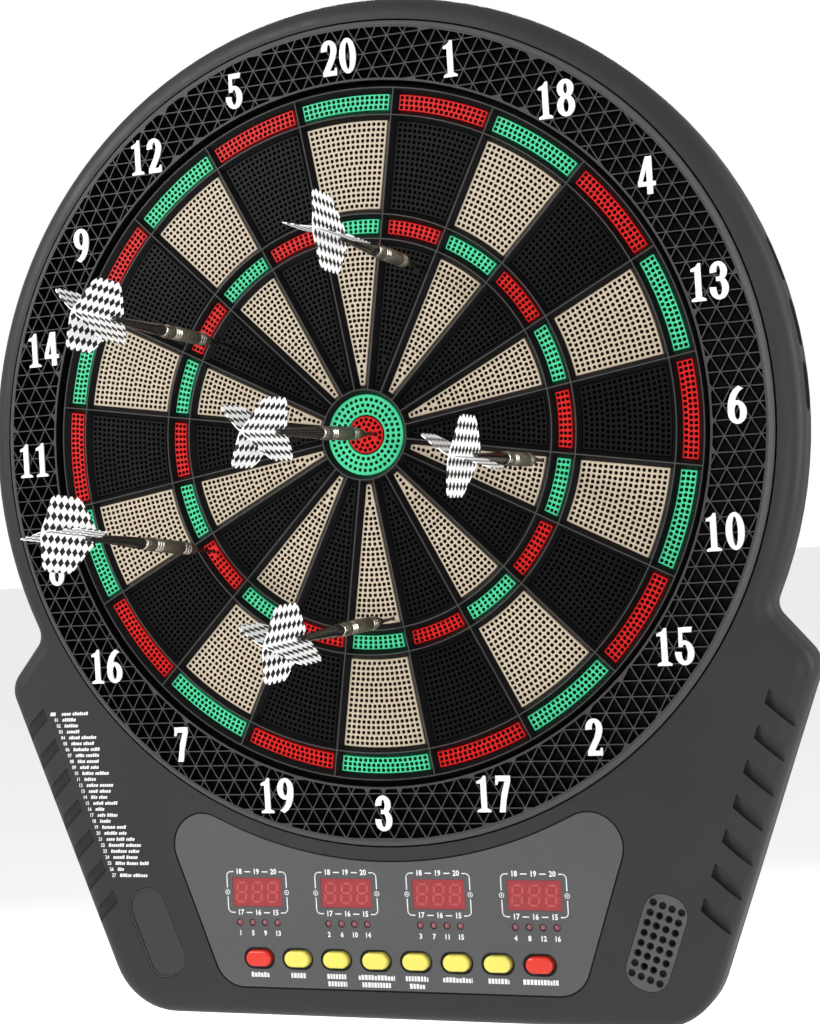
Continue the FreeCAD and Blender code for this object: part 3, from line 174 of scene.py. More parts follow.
def plastic(name, colour, rough=0.45, grain=0.4, grain_size=0.35, mottle=0.10, specular=0.5,
            smudge=0.10, coat=0.0, wear=None, front=None, rim=None, subsurface=0.0,
            scratches=0.0):
    """Moulded plastic: mottled colour, fine surface grain, smudged gloss.

    grain is a bump strength and grain_size is in mm; mottle, smudge, wear and scratches
    are amounts; front and rim paint a paler colour in front of a depth and beyond a radius:
    painted highlight, or painted shade over a dark base.
    """
    look = Surface(name)
    position = look.coords()
    clouds = look.noise(position, scale=9.0, detail=4.0, rough=0.6)
    blotches = look.noise(position, scale=60.0, rough=0.6)
    # 2.2 cells of noise make one grain
    fine = look.noise(position, scale=1000.0 / grain_size / 2.2, detail=2.0)

    base = look.mix(look.remap(clouds), scaled(colour, 1 - mottle), scaled(colour, 1 + mottle))
    specks = look.remap(fine, span=(0.62, 0.8), to=(0, 0.35))
    base = look.mix(specks, base, scaled(colour, 1.5))
    # painted light: paler colour in front of a depth and beyond a radius
    if front is not None:
        base = front_painted_light(look, base, position, blotches, **front)
    if rim is not None:
        base = rim_painted_highlight(look, base, position, **rim)
    if wear is not None:
        # rubbed patches: sparse, soft, paler
        patches = look.noise(position, scale=22.0, detail=6.0, rough=0.72, distortion=0.4)
        rubbed = look.remap(patches, span=(0.62, 0.80), to=(0, wear))
        base = look.mix(rubbed, base, scaled(colour, 1.9))

    gloss = look.math(
        "ADD",
        look.remap(clouds, span=(0.25, 0.75), to=(rough - smudge, rough + smudge)),
        look.remap(blotches, to=(-0.04, 0.04)))
    if scratches > 0:
        streaks = look.noise(look.coords(stretch=(1.0, 1.0, 14.0)),
                             scale=180.0, detail=4.0, rough=0.7, distortion=1.2)
        gloss = look.math("ADD", gloss, look.remap(streaks, span=(0.68, 0.74),
                                                   to=(0, scratches)))

    normal = look.bump(fine, strength=grain, depth=0.04)
    normal = look.bump(blotches, strength=0.12, depth=0.10, normal=normal)
    look.shade({"Base Color": base, "Roughness": gloss, "Normal": normal,
                "Specular IOR Level": specular,
                "Coat Weight": coat, "Coat Roughness": 0.18})
    if subsurface > 0:
        look.shade({"Subsurface Weight": subsurface,
                    "Subsurface Radius": (1.0, 0.6, 0.4),
                    "Subsurface Scale": 1.2 * MM})


def metal(name, colour, rough, brushed=False):
    look = Surface(name)
    position = look.coords()
    clouds = look.noise(position, scale=120.0, detail=4.0, rough=0.6)
    fine = look.noise(look.coords(stretch=(1.0, 1.0, 6.0)) if brushed else position,
                      scale=1500.0, rough=0.6)
    mottle = 0.15
    base = look.mix(look.remap(clouds), scaled(colour, 1 - mottle), scaled(colour, 1 + mottle))
    gloss = look.math("ADD",
                      look.remap(clouds, to=(rough - 0.06, rough + 0.08)),
                      look.remap(fine, to=(-0.05, 0.05)))
    look.shade({"Base Color": base, "Metallic": 1.0, "Roughness": gloss,
                "Normal": look.bump(fine, strength=0.25, depth=0.03)})


def hole_painted_shade(name, colour):
    """Inside of the dart holes: the plastic's colour darkened, a painted shade for the light
    that hardly gets in, with dusty mottling.
    """
    look = Surface(name)
    dust = look.noise(look.coords(), scale=260.0, rough=0.6)
    look.shade({"Base Color": look.mix(look.remap(dust), scaled(colour, 0.7),
                                       scaled(colour, 1.3)),
                "Roughness": look.remap(dust, to=(0.6, 0.85)),
                "Normal": look.bump(dust, strength=0.2, depth=0.05),
                "Specular IOR Level": 0.25})


def knurled_barrel(name):
    """Crossed helical grooves; U runs around the barrel and V along it."""
    turns_around, turns_along = 22, 50
    look = Surface(name)
    axes = look.uv_axes()
    around = look.math("MULTIPLY", axes["X"], 2 * math.pi * turns_around)
    along = look.math("MULTIPLY", axes["Y"], 2 * math.pi * turns_along)
    right_hand = look.math("SINE", look.math("ADD", around, along))
    left_hand = look.math("SINE", look.math("SUBTRACT", around, along))
    height = look.math("ADD", look.math("ABSOLUTE", right_hand),
                       look.math("ABSOLUTE", left_hand))
    tarnish = look.noise(look.coords(), scale=300.0, detail=4.0, rough=0.6)
    base = look.mix(look.remap(height, span=(0.5, 1.6)),
                    (0.05, 0.042, 0.03), (0.27, 0.24, 0.19))
    base = look.mix(look.remap(tarnish, span=(0.45, 0.75), to=(0, 0.5)),
                    base, (0.14, 0.12, 0.09))
    look.shade({"Base Color": base, "Metallic": 0.9,
                "Roughness": look.remap(tarnish, to=(0.36, 0.55)),
                "Normal": look.bump(height, strength=0.7, depth=0.12)})


def harlequin_flight(name):
    """White film with rows of black diamonds; UV is in mm along and across the flight."""
    look = Surface(name)
    axes = look.uv_axes()

    def distance_wave(value, period, shift=0.0):
        """Triangle wave from 0 to 0.5 and back over each period."""
        phase = look.math("ADD", look.math("DIVIDE", value, period), shift)
        # the added whole periods keep the phase positive
        phase = look.math("FRACT", look.math("ADD", phase, 100.0))
        return look.math("ABSOLUTE", look.math("SUBTRACT", phase, 0.5))

    # each wave is divided by the diamond's half size, in periods
    along = look.math("DIVIDE", distance_wave(axes["X"], period=4.9, shift=0.3), 0.475)
    across = look.math("DIVIDE", distance_wave(axes["Y"], period=5.2), 0.42)
    diamond = look.remap(look.math("ADD", along, across), span=(0.96, 1.04), to=(1, 0))
    clouds = look.noise(look.coords(), scale=80.0, rough=0.6)
    white = look.mix(look.remap(clouds), (0.90, 0.90, 0.90), (0.95, 0.95, 0.94))
    black = look.mix(look.remap(clouds), (0.008, 0.008, 0.008), (0.016, 0.016, 0.016))
    look.shade({"Base Color": look.mix(diamond, white, black),
                "Roughness": look.remap(clouds, to=(0.32, 0.48)),
                "Normal": look.bump(clouds, strength=0.15, depth=0.1),
                # painted light: the white parts glow a little, in place of light through the
                # thin sheet
                "Emission Color": look.mix(diamond, (0.20, 0.20, 0.20), (0.0, 0.0, 0.0)),
                "Emission Strength": 1.0})


# ---------------------------------------------------------------------------
# materials of the board
# ---------------------------------------------------------------------------
def make_housing_materials():
    plastic("case_grey", (0.0335, 0.0335, 0.0345), rough=0.46, grain=0.35, grain_size=0.45,
            mottle=0.07, wear=0.22, scratches=0.10, specular=0.20)
    plastic("case_back", (0.034, 0.034, 0.036), rough=0.50, grain=0.8, grain_size=0.9,
            mottle=0.20, wear=0.5, scratches=0.18)
    # front and rim paint the raised tops of ring and spider, and the ring's outer bevel, paler
    # grey: a painted highlight
    plastic("ring_black", (0.0048, 0.0048, 0.0052), rough=0.38, grain=0.25, mottle=0.15,
            smudge=0.08, specular=0.16,
            front=dict(at=-4.93, blur=0.04, colour=(0.070, 0.068, 0.066)),
            rim=dict(at=202.7, blur=0.15, colour=(0.10, 0.10, 0.10)))
    plastic("spider_black", (0.0050, 0.0050, 0.0054), rough=0.34, grain=0.2, mottle=0.15,
            smudge=0.08, scratches=0.15, specular=0.16,
            front=dict(at=-2.60, blur=0.06, colour=(0.070, 0.069, 0.067)))
    plastic("numeral_white", (0.90, 0.90, 0.90), rough=0.38, grain=0.15, mottle=0.02,
            wear=0.0)
    plastic("panel_grey", (0.077, 0.077, 0.078), rough=0.48, grain=0.3, grain_size=0.3,
            mottle=0.04, scratches=0.10)
    # the grille's face is grey; everything behind it, countersinks and holes, is painted
    # black: a painted shade
    grille_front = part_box("speaker_grille")[0].y / MM
    plastic("grille_grey", (0.010, 0.010, 0.010), rough=0.42, grain=0.25, mottle=0.04,
            specular=0.35,
            front=dict(at=grille_front + 0.09, blur=0.05, colour=(0.090, 0.090, 0.090)))
    plastic("cap_dark", (0.030, 0.030, 0.031), rough=0.40, grain=0.3, mottle=0.06)


def make_segment_materials():
    segment = functools.partial(plastic, grain=0.2, grain_size=0.5)
    segment("segment_beige", (0.555, 0.465, 0.345), rough=0.42, mottle=0.035, wear=0.0,
            subsurface=0.15)
    segment("segment_black", (0.0032, 0.0032, 0.0035), rough=0.36, mottle=0.12, smudge=0.08,
            specular=0.14)
    segment("segment_green", (0.065, 0.66, 0.32), rough=0.40, mottle=0.05, subsurface=0.10,
            specular=0.30)
    segment("segment_red", (0.66, 0.0080, 0.0066), rough=0.40, mottle=0.05, subsurface=0.10,
            specular=0.25)
    # hole materials: dark colours on the hole walls, a painted shade
    hole_painted_shade("hole_beige", (0.062, 0.039, 0.017))
    hole_painted_shade("hole_black", (0.003, 0.003, 0.003))
    hole_painted_shade("hole_green", (0.010, 0.17, 0.075))
    hole_painted_shade("hole_red", (0.16, 0.004, 0.003))


def make_panel_materials():
    plastic("button_red", (0.72, 0.030, 0.014), rough=0.30, grain=0.15, mottle=0.04,
            coat=0.25, subsurface=0.2)
    plastic("button_yellow", (0.84, 0.74, 0.13), rough=0.30, grain=0.15, mottle=0.03,
            coat=0.25, subsurface=0.2)
    plastic("window_red", (0.315, 0.040, 0.046), rough=0.24, grain=0.05, mottle=0.03,
            smudge=0.06, coat=0.25, specular=0.3)
    plastic("window_segments", (0.46, 0.075, 0.075), rough=0.25, grain=0.05, mottle=0.03)
    plastic("led_dull_red", (0.26, 0.085, 0.10), rough=0.35, grain=0.05, mottle=0.08)
    plastic("print_white", (0.82, 0.82, 0.82), rough=0.5, grain=0.15, grain_size=0.15,
            mottle=0.03)


def make_inside_materials():
    plastic("pad_rubber", (0.02, 0.02, 0.02), rough=0.75, grain=0.5, grain_size=0.6)
    plastic("contact_film", (0.60, 0.61, 0.56), rough=0.25, grain=0.05, mottle=0.05)
    plastic("fibreboard", (0.20, 0.125, 0.065), rough=0.75, grain=0.6, grain_size=0.9,
            mottle=0.25)
    plastic("solder_resist", (0.015, 0.12, 0.045), rough=0.3, grain=0.15, mottle=0.12,
            coat=0.3)
    plastic("connector_cream", (0.70, 0.66, 0.50), rough=0.4)
    plastic("switch_black", (0.02, 0.02, 0.021))
    plastic("lead_red", (0.35, 0.012, 0.010), rough=0.4)
    plastic("cell_wrap", (0.02, 0.06, 0.22), rough=0.28, grain=0.05, coat=0.5)
    plastic("display_block", (0.30, 0.05, 0.06), rough=0.4)
    plastic("speaker_black", (0.015, 0.015, 0.016), rough=0.6, grain=0.5)
    metal("spring_steel", (0.55, 0.54, 0.50), rough=0.32, brushed=True)
    metal("screw_zinc", (0.38, 0.37, 0.36), rough=0.38)


PART_MATERIALS = {
    "front_housing": "case_grey", "rear_cover": "case_back", "battery_cover": "case_back",
    "number_ring": "ring_black", "numerals": "numeral_white", "spider": "spider_black",
    "matrix_pad": "pad_rubber", "membrane_front": "contact_film",
    "membrane_rear": "contact_film", "backing_plate": "fibreboard",
    "control_panel": "panel_grey", "display_windows": "window_red",
    "display_modules": "display_block", "player_leds": "led_dull_red",
    "main_pcb": "solder_resist", "pcb_connectors": "connector_cream",
    "tact_switches": "switch_black", "speaker_grille": "grille_grey",
    "blank_cap": "cap_dark", "speaker": "speaker_black", "batteries": "cell_wrap",
    "battery_contacts": "spring_steel", "leads": "lead_red", "screws": "screw_zinc",
}
BUTTON_COUNT = 8


def paint_parts():
    """Give each CAD piece its material; the two end buttons are red."""
    paint = dict(PART_MATERIALS)
    for i in range(1, BUTTON_COUNT + 1):
        paint["button_%d" % i] = "button_red" if i in (1, BUTTON_COUNT) else "button_yellow"
    for part, material in paint.items():
        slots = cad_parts[part].data.materials
        slots.clear()
        slots.append(MATERIALS[material])


make_housing_materials()
make_segment_materials()
make_panel_materials()
make_inside_materials()
paint_parts()


# ---------------------------------------------------------------------------
# mesh building
# ---------------------------------------------------------------------------
def turned(x, z, degrees):
    """Turn a point about the board's centre, counter-clockwise seen from the front."""
    cos, sin = math.cos(math.radians(degrees)), math.sin(math.radians(degrees))
    return x * cos - z * sin, x * sin + z * cos


def signed_area(outline):
    """Twice the area; positive for a counter-clockwise outline."""
    following = outline[1:] + outline[:1]
    return sum(p[0] * q[1] - q[0] * p[1] for p, q in zip(outline, following))


class Shape:
    """Points in mm and faces, gathered and then turned into an object."""

    def __init__(self):
        self.points, self.uvs = [], []
        self.faces, self.slots, self.smooth = [], [], []

    def add(self, points):
        start = len(self.points)
        self.points.extend(points)
        return list(range(start, len(self.points)))

    def loop(self, outline, y):
        return self.add([(x, y, z) for x, z in outline])

    def face(self, corners, slot=0, smooth=False):
        self.faces.append(corners)
        self.slots.append(slot)
        self.smooth.append(smooth)

    def wall(self, front, back, slot=0, flip=False):
        """Quads between two loops; flip faces them into the loop."""
        for i in range(len(front)):
            j = (i + 1) % len(front)
            quad = [front[j], front[i], back[i], back[j]]
            self.face(quad[::-1] if flip else quad, slot)

    def tube(self, loop, stations, flip=False):
        """Walls back through a list of (outline, y); returns the last loop."""
        for outline, y in stations:
            further = self.loop(outline, y)
            self.wall(loop, further, flip=flip)
            loop = further
        return loop

    def slab(self, front, back, slot=0):
        self.face(front, slot)
        self.face(back[::-1], slot)
        self.wall(front, back, slot)

    def merge(self, other, degrees, slot_shift):
        start = len(self.points)
        for x, y, z in other.points:
            new_x, new_z = turned(x, z, degrees)
            self.points.append((new_x, y, new_z))
        for corners, slot in zip(other.faces, other.slots):
            self.face([i + start for i in corners], slot + slot_shift)

    def build(self, name, materials):
        mesh = bpy.data.meshes.new(name)
        mesh.from_pydata([tuple(c * MM for c in point) for point in self.points],
                         [], self.faces)
        for material in materials:
            mesh.materials.append(MATERIALS[material])
        if any(self.slots):
            mesh.polygons.foreach_set("material_index", self.slots)
        mesh.polygons.foreach_set("use_smooth", self.smooth)
        if self.uvs:
            layer = mesh.uv_layers.new(name="UVMap")
            for corner in mesh.loops:
                layer.data[corner.index].uv = self.uvs[corner.vertex_index]
        mesh.update()
        obj = bpy.data.objects.new(name, mesh)
        scene.collection.objects.link(obj)
        return obj


def stand_in(obj, part):
    """Put an object in the place of a CAD piece."""
    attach(obj, part)
    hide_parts(part)


# ---------------------------------------------------------------------------
# perforated scoring segments
# ---------------------------------------------------------------------------
# clockwise from the top
NUMBERS = [20, 1, 18, 4, 13, 6, 10, 15, 2, 17, 3, 19, 7, 16, 8, 11, 14, 9, 12, 5]
SECTOR = 360 // len(NUMBERS)
HALF_SECTOR = math.radians(SECTOR / 2)

# side_margin: from a row's end holes to the segment's sides
# row_gap: between the three rows of a narrow band, 0 for wide bands spread by HOLE_PITCH
Band = namedtuple("Band", "inner_r outer_r arc_steps side_margin row_gap hole_r")
HOLE_R = 0.90
BANDS = [
    Band(24.8, 95.0, 8, 1.75, 0, HOLE_R),       # inner single
    Band(100.5, 107.5, 8, 1.65, 2.15, 0.86),    # treble
    Band(112.5, 156.5, 14, 1.95, 0, HOLE_R),    # outer single
    Band(161.5, 169.4, 16, 1.65, 2.4, 0.93),    # double
]
HALF_GAP = 2.6          # from a segment's side to the sector line
SEGMENT_DEPTH = 8.5
CHAMFER = 0.3
FLANGE_Y = 6.0
FLANGE_WIDTH = 1.1
HOLE_STEPS = 12
HOLE_DEPTH = 6.4
HOLE_PITCH = 2.6
ROW_END_MARGIN = 1.9    # from the first and last rows of a wide band to its arcs
MIN_WEB = 0.42          # least plastic between two holes in a row
TIGHT_HOLE_R = 0.75     # the lone hole where a wide band is narrowest
DART_HOLE_R = 1.0
DART_CLEARANCE = 2.2    # holes nearer than this to a dart's point give way to its own

# name: point x, z; lean from -Y towards X and Z, degrees; roll about the axis, degrees;
# directions of the four vanes about the axis, degrees
DARTS = {
    "dart_1": (33.3, 81.0, 3.2, 0.5, 2.0, (98, 168, 276, 345)),
    "dart_2": (-74.8, 52.1, -1.1, 2.4, 30.0, (56, 135, 244, 308)),
    "dart_3": (5.2, 0.0, -1.3, -0.7, 40.0, (54, 134, 239, 309)),
    "dart_4": (91.3, -19.0, 2.0, 0.1, 8.0, (78, 146, 260, 341)),
    "dart_5": (-88.5, -53.8, -4.8, 5.6, 0.0, (79, 182, 255, 359)),
    "dart_6": (8.7, -92.4, -0.8, -1.0, 35.0, (75, 149, 258, 328)),
}


def segment_outline(inner_r, outer_r, gap, steps):
    """Outline (x, z) of the segment that points up, counter-clockwise from the front."""
    points = []
    for radius, way in ((outer_r, 1), (inner_r, -1)):
        half = HALF_SECTOR - math.asin(gap / radius)
        for i in range(steps + 1):
            angle = math.pi / 2 - way * half + way * 2 * half * i / steps
            points.append((radius * math.cos(angle), radius * math.sin(angle)))
    return points


def row_radii(band):
    if band.row_gap:
        middle = (band.inner_r + band.outer_r) / 2
        return [middle - band.row_gap, middle, middle + band.row_gap]
    depth = band.outer_r - band.inner_r - 2 * ROW_END_MARGIN
    count = round(depth / HOLE_PITCH)
    step = depth / count
    return [band.inner_r + ROW_END_MARGIN + i * step for i in range(count + 1)]


def band_holes(band):
    """Holes (x, z, radius) in rows along arcs, spread evenly between the two sides."""
    holes = []
    for radius in row_radii(band):
        half = radius * (HALF_SECTOR - math.asin(HALF_GAP / radius)) - band.side_margin
        if half < -0.55:    # no room for even one hole
            continue
        # rows are set a touch wider than the pitch
        gaps = max(0, round(2 * half / (HOLE_PITCH + 0.02)))
        if gaps and 2 * half / gaps < 2 * HOLE_R + MIN_WEB:
            gaps -= 1
        hole_r = band.hole_r if half > -0.1 else TIGHT_HOLE_R
        for j in range(gaps + 1):
            offset = 0.0 if gaps == 0 else -half + 2 * half * j / gaps
            angle = math.pi / 2 - offset / radius
            holes.append((radius * math.cos(angle), radius * math.sin(angle), hole_r))
    return holes


def with_dart(holes, dart_x, dart_z):
    """Make room for a dart's own hole."""
    kept = [hole for hole in holes
            if math.hypot(hole[0] - dart_x, hole[1] - dart_z) > DART_CLEARANCE]
    return kept + [(dart_x, dart_z, DART_HOLE_R)]


def hole_outline(x, z, radius):
    """A square with well rounded corners, lined up with the rows."""
    power = 3.0
    turn = math.atan2(z, x) if x * x + z * z > 1 else 0.0
    points = []
    for i in range(HOLE_STEPS):
        angle = 2 * math.pi * (i + 0.5) / HOLE_STEPS
        reach = radius / (abs(math.cos(angle)) ** power
                          + abs(math.sin(angle)) ** power) ** (1 / power)
        points.append((x + reach * math.cos(angle + turn), z + reach * math.sin(angle + turn)))
    return points


def perforated_face(shape, outer, rims):
    """Fill the outer loop of a fresh shape, leaving the rims open."""
    edges = []
    for loop in [outer, *rims]:
        edges += list(zip(loop, loop[1:] + loop[:1]))
    rim_of = {i: number for number, rim in enumerate(rims) for i in rim}
    flat = [Vector((x, z)) for x, _, z in shape.points]
    # output type 1: triangles inside the outlines; the last number is the merge distance
    filled, _, triangles, origins, _, _ = delaunay_2d_cdt(flat, edges, [], 1, 1e-7)
    if len(filled) != len(flat):
        raise RuntimeError("the face of a segment has crossing outlines")
    for triangle in triangles:
        corners = [origins[i][0] for i in triangle]
        owners = {rim_of.get(i) for i in corners}
        if len(owners) == 1 and None not in owners:
            continue        # it lies inside a rim
        a, b, c = (flat[i] for i in corners[:3])
        area = (shape_cross(shape, corners))
        if abs(area) < 1e-10:
            continue
        # facing -Y: counter-clockwise in x, z
        shape.face(corners if area > 0 else corners[::-1])


def shape_cross(shape, corners):
    """Twice the signed area of a triangle in x, z."""
    (ax, _, az), (bx, _, bz), (cx, _, cz) = (shape.points[i] for i in corners[:3])
    return (bx - ax) * (cz - az) - (cx - ax) * (bz - az)


def perforated_block(top, body, holes, flange=None, bore=None):
    """Closed block with blind holes: top outline at y = 0, body outline behind the chamfer.

    flange is a wider outline at the back; bore is the (top, body) outlines of an opening.
    Slot 0 is the plastic and slot 1 the inside of the holes, which takes a painted shade.
    """
    shape = Shape()
    top_loop = shape.loop(top, 0.0)
    outlines = [hole_outline(*hole) for hole in holes]
    hole_loops = [shape.loop(outline, 0.0) for outline in outlines]
    bore_loops = [shape.loop(bore[0], 0.0)] if bore else []
    perforated_face(shape, top_loop, hole_loops + bore_loops)

    stations = [(body, CHAMFER), (body, SEGMENT_DEPTH)]
    if flange:
        stations = [(body, CHAMFER), (body, FLANGE_Y),
                    (flange, FLANGE_Y), (flange, SEGMENT_DEPTH)]
    back = shape.tube(top_loop, stations)
    if bore:
        bore_back = shape.tube(bore_loops[0], [(bore[1], CHAMFER), (bore[1], SEGMENT_DEPTH)],
                               flip=True)
        shape.wall(back, bore_back)
    else:
        shape.face(back[::-1])
    for rim, outline in zip(hole_loops, outlines):
        floor_loop = shape.loop(outline, HOLE_DEPTH)
        shape.wall(rim, floor_loop, slot=1, flip=True)
        shape.face(floor_loop, slot=1)
    return shape


@functools.lru_cache(maxsize=None)
def band_block(band, dart=None):
    """One segment of a band, pointing up; dart is the (x, z) of a dart stuck in it."""
    def outline(grow):
        return segment_outline(band.inner_r - grow, band.outer_r + grow, HALF_GAP - grow,
                               band.arc_steps)
    holes = band_holes(band)
    if dart:
        holes = with_dart(holes, *dart)
    return perforated_block(outline(-CHAMFER), outline(0), holes, outline(FLANGE_WIDTH))


def dart_in(band, sector):
    """Where a dart sits in this band of a sector, turned to point up; None without one."""
    for x, z, *_ in DARTS.values():
        up_x, up_z = turned(x, z, SECTOR * sector)
        if (band.inner_r < math.hypot(up_x, up_z) < band.outer_r
                and abs(math.degrees(math.atan2(up_x, up_z))) < SECTOR / 2):
            return up_x, up_z
    return None


def build_sector(sector, number):
    light = sector % 2 == 0
    shape = Shape()
    for band in BANDS:
        # trebles and doubles use the second pair of materials
        shape.merge(band_block(band, dart_in(band, sector)), -SECTOR * sector,
                    slot_shift=2 if band.row_gap else 0)
    plain, bright = ("beige", "green") if light else ("black", "red")
    # the hole materials on slots 1 and 3 are painted shade inside the holes
    obj = shape.build("segments_%d" % number, ["segment_" + plain, "hole_" + plain,
                                               "segment_" + bright, "hole_" + bright])
    stand_in(obj, "sector_%d" % number)


def circle(radius, steps=72):
    angles = [2 * math.pi * i / steps for i in range(steps)]
    return [(radius * math.cos(angle), radius * math.sin(angle)) for angle in angles]


def ring_holes(rings, phase):
    """Holes on circles (radius, count), started a part of a step round."""
    holes = []
    for radius, count in rings:
        for i in range(count):
            angle = 2 * math.pi * (i + phase) / count
            holes.append((radius * math.cos(angle), radius * math.sin(angle), HOLE_R))
    return holes


def build_bull():
    ring_r, bore_r, centre_r = 20.3, 10.0, 9.3
    holes = ring_holes([(12.0, 27), (14.9, 33), (17.8, 40)], phase=0.5)
    ring = perforated_block(circle(ring_r - CHAMFER), circle(ring_r), holes,
                            bore=(circle(bore_r + CHAMFER), circle(bore_r)))
    # hole_green and hole_red are painted shade inside the holes
    stand_in(ring.build("bull_ring", ["segment_green", "hole_green"]),
             "bull_outer")

    holes = [(0, 0, HOLE_R)] + ring_holes([(2.7, 6), (5.35, 12), (7.7, 18)], phase=0.25)
    holes = with_dart(holes, *DARTS["dart_3"][:2])
    centre = perforated_block(circle(centre_r - CHAMFER), circle(centre_r), holes)
    stand_in(centre.build("bull_centre", ["segment_red", "hole_red"]),
             "bull_inner")


for sector, number in enumerate(NUMBERS):
    build_sector(sector, number)
build_bull()

# ---------------------------------------------------------------------------
# darts, built along +Z from the board's face
# ---------------------------------------------------------------------------
DART_MATERIALS = ["dart_tip", "dart_barrel", "dart_bright", "dart_shaft", "dart_flight"]
TIP, KNURL, BRIGHT, SHAFT, FLIGHT = range(len(DART_MATERIALS))
LATHE_STEPS = 28
BARREL_START, BARREL_END = 20.2, 65.4
FLIGHT_START = 103.0
KNURL_REPEAT = 45.0     # length along the dart that V counts as one

# distance along the axis, radius
TIP_PROFILE = [(-5.0, 0.3), (-2.0, 0.55), (6.0, 0.8), (15.0, 1.05), (16.0, 1.5),
               (16.5, 1.9), (20.15, 2.1)]
SHAFT_PROFILE = [
    (BARREL_END + 0.05, 2.7), (BARREL_END + 0.6, 3.0), (BARREL_END + 3.0, 3.0),
    (BARREL_END + 3.4, 2.8), (BARREL_END + 9.0, 2.75),
    (FLIGHT_START - 8.0, 2.0), (FLIGHT_START + 1.0, 1.85),
    (FLIGHT_START + 9.0, 1.9), (FLIGHT_START + 9.6, 1.5)]
# distance along from FLIGHT_START, distance out from the axis
VANE_OUTLINE = [
    (0.0, 0.22), (0.2, 1.9), (1.2, 3.1), (6.0, 7.9), (10.5, 12.4), (14.5, 15.9),
    (16.5, 17.2), (18.5, 17.7), (25.5, 17.7), (32.5, 17.7), (35.8, 17.2), (38.0, 15.5),
    (39.8, 10.4), (41.6, 5.2), (42.8, 2.0), (43.0, 0.22)]
VANE_HALF_THICKNESS = 0.2
VANE_BOW, VANE_BOW_SPAN = 0.35, 17.8


def make_dart_materials():
    plastic("dart_tip", (0.012, 0.012, 0.012), rough=0.35, grain=0.1)
    plastic("dart_shaft", (0.010, 0.010, 0.010), rough=0.22, grain=0.1, coat=0.5, smudge=0.05)
    metal("dart_bright", (0.72, 0.69, 0.62), rough=0.22)
    knurled_barrel("dart_barrel")
    harlequin_flight("dart_flight")


def barrel_profile():
    """Stations (along, radius, slot of the stretch that ends there)."""
    start, end = BARREL_START, BARREL_END
    stations = [(start, 2.2, BRIGHT), (start + 0.4, 2.5, BRIGHT),
                (start + 1.0, 2.75, BRIGHT), (start + 5.0, 3.35, KNURL)]
    # two groups of three bright grooves
    for group in (start + 6.0, start + 31.0):
        for k in range(3):
            groove = group + k * 2.2
            stations += [(groove, 3.4, KNURL if k == 0 else BRIGHT),
                         (groove + 0.25, 3.08, BRIGHT), (groove + 0.95, 3.05, BRIGHT),
                         (groove + 1.3, 3.4, BRIGHT)]
    return stations + [(end - 3.5, 3.4, KNURL), (end - 2.6, 3.15, BRIGHT),
                       (end - 1.0, 3.15, BRIGHT), (end - 0.4, 2.9, BRIGHT),
                       (end, 2.6, BRIGHT)]


def lathe(shape, stations):
    """Closed turned body about +Z through stations (along, radius, slot)."""
    rings = []
    for along, radius, _ in stations:
        angles = [2 * math.pi * i / LATHE_STEPS for i in range(LATHE_STEPS)]
        rings.append(shape.add([(radius * math.cos(angle), radius * math.sin(angle), along)
                                for angle in angles]))
        shape.uvs += [(i / LATHE_STEPS, along / KNURL_REPEAT) for i in range(LATHE_STEPS)]
    for near, far, (_, _, slot) in zip(rings, rings[1:], stations[1:]):
        for i in range(LATHE_STEPS):
            j = (i + 1) % LATHE_STEPS
            shape.face([near[i], near[j], far[j], far[i]], slot, smooth=True)
    shape.face(rings[0][::-1], stations[0][2])
    shape.face(rings[-1], stations[-1][2])


def add_vane(shape, degrees, bow):
    """A thin sheet from the axis outwards, bowed very slightly away from flat."""
    cos, sin = math.cos(math.radians(degrees)), math.sin(math.radians(degrees))
    sides = []
    for side in (VANE_HALF_THICKNESS, -VANE_HALF_THICKNESS):
        points = []
        for along, out in VANE_OUTLINE:
            off = side + bow * math.sin(out / VANE_BOW_SPAN * math.pi)
            points.append((out * cos - off * sin, out * sin + off * cos,
                           FLIGHT_START + along))
        sides.append(shape.add(points))
        shape.uvs += VANE_OUTLINE
    shape.slab(*sides, slot=FLIGHT)


def build_dart(name, x, z, lean_x, lean_z, roll, vanes):
    shape = Shape()
    lathe(shape, [(along, radius, TIP) for along, radius in TIP_PROFILE])
    lathe(shape, barrel_profile())
    lathe(shape, [(along, radius, SHAFT) for along, radius in SHAFT_PROFILE])
    for i, direction in enumerate(vanes):
        add_vane(shape, direction - roll, bow=VANE_BOW if i % 2 else -VANE_BOW)

    axis = Vector((math.tan(math.radians(lean_x)), -1, math.tan(math.radians(lean_z))))
    aim = Vector((0, 0, 1)).rotation_difference(axis.normalized()).to_matrix().to_4x4()
    place = (Matrix.Translation(Vector((x, 0, z))) @ aim
             @ Matrix.Rotation(math.radians(roll), 4, "Z"))
    shape.points = [tuple(place @ Vector(point)) for point in shape.points]
    stand_in(shape.build("thrown_" + name, DART_MATERIALS), name)


make_dart_materials()
for name, dart in DARTS.items():
    build_dart(name, *dart)

# ---------------------------------------------------------------------------
# printed legends: thin ink on the panel and the left foot, all generic
# ---------------------------------------------------------------------------
PANEL_Y, CASE_Y, DIGITS_Y = -2.1, -2.2, -1.95
INK_PROUD, INK_SUNK = 0.03, 0.01    # in front of and behind the printed face


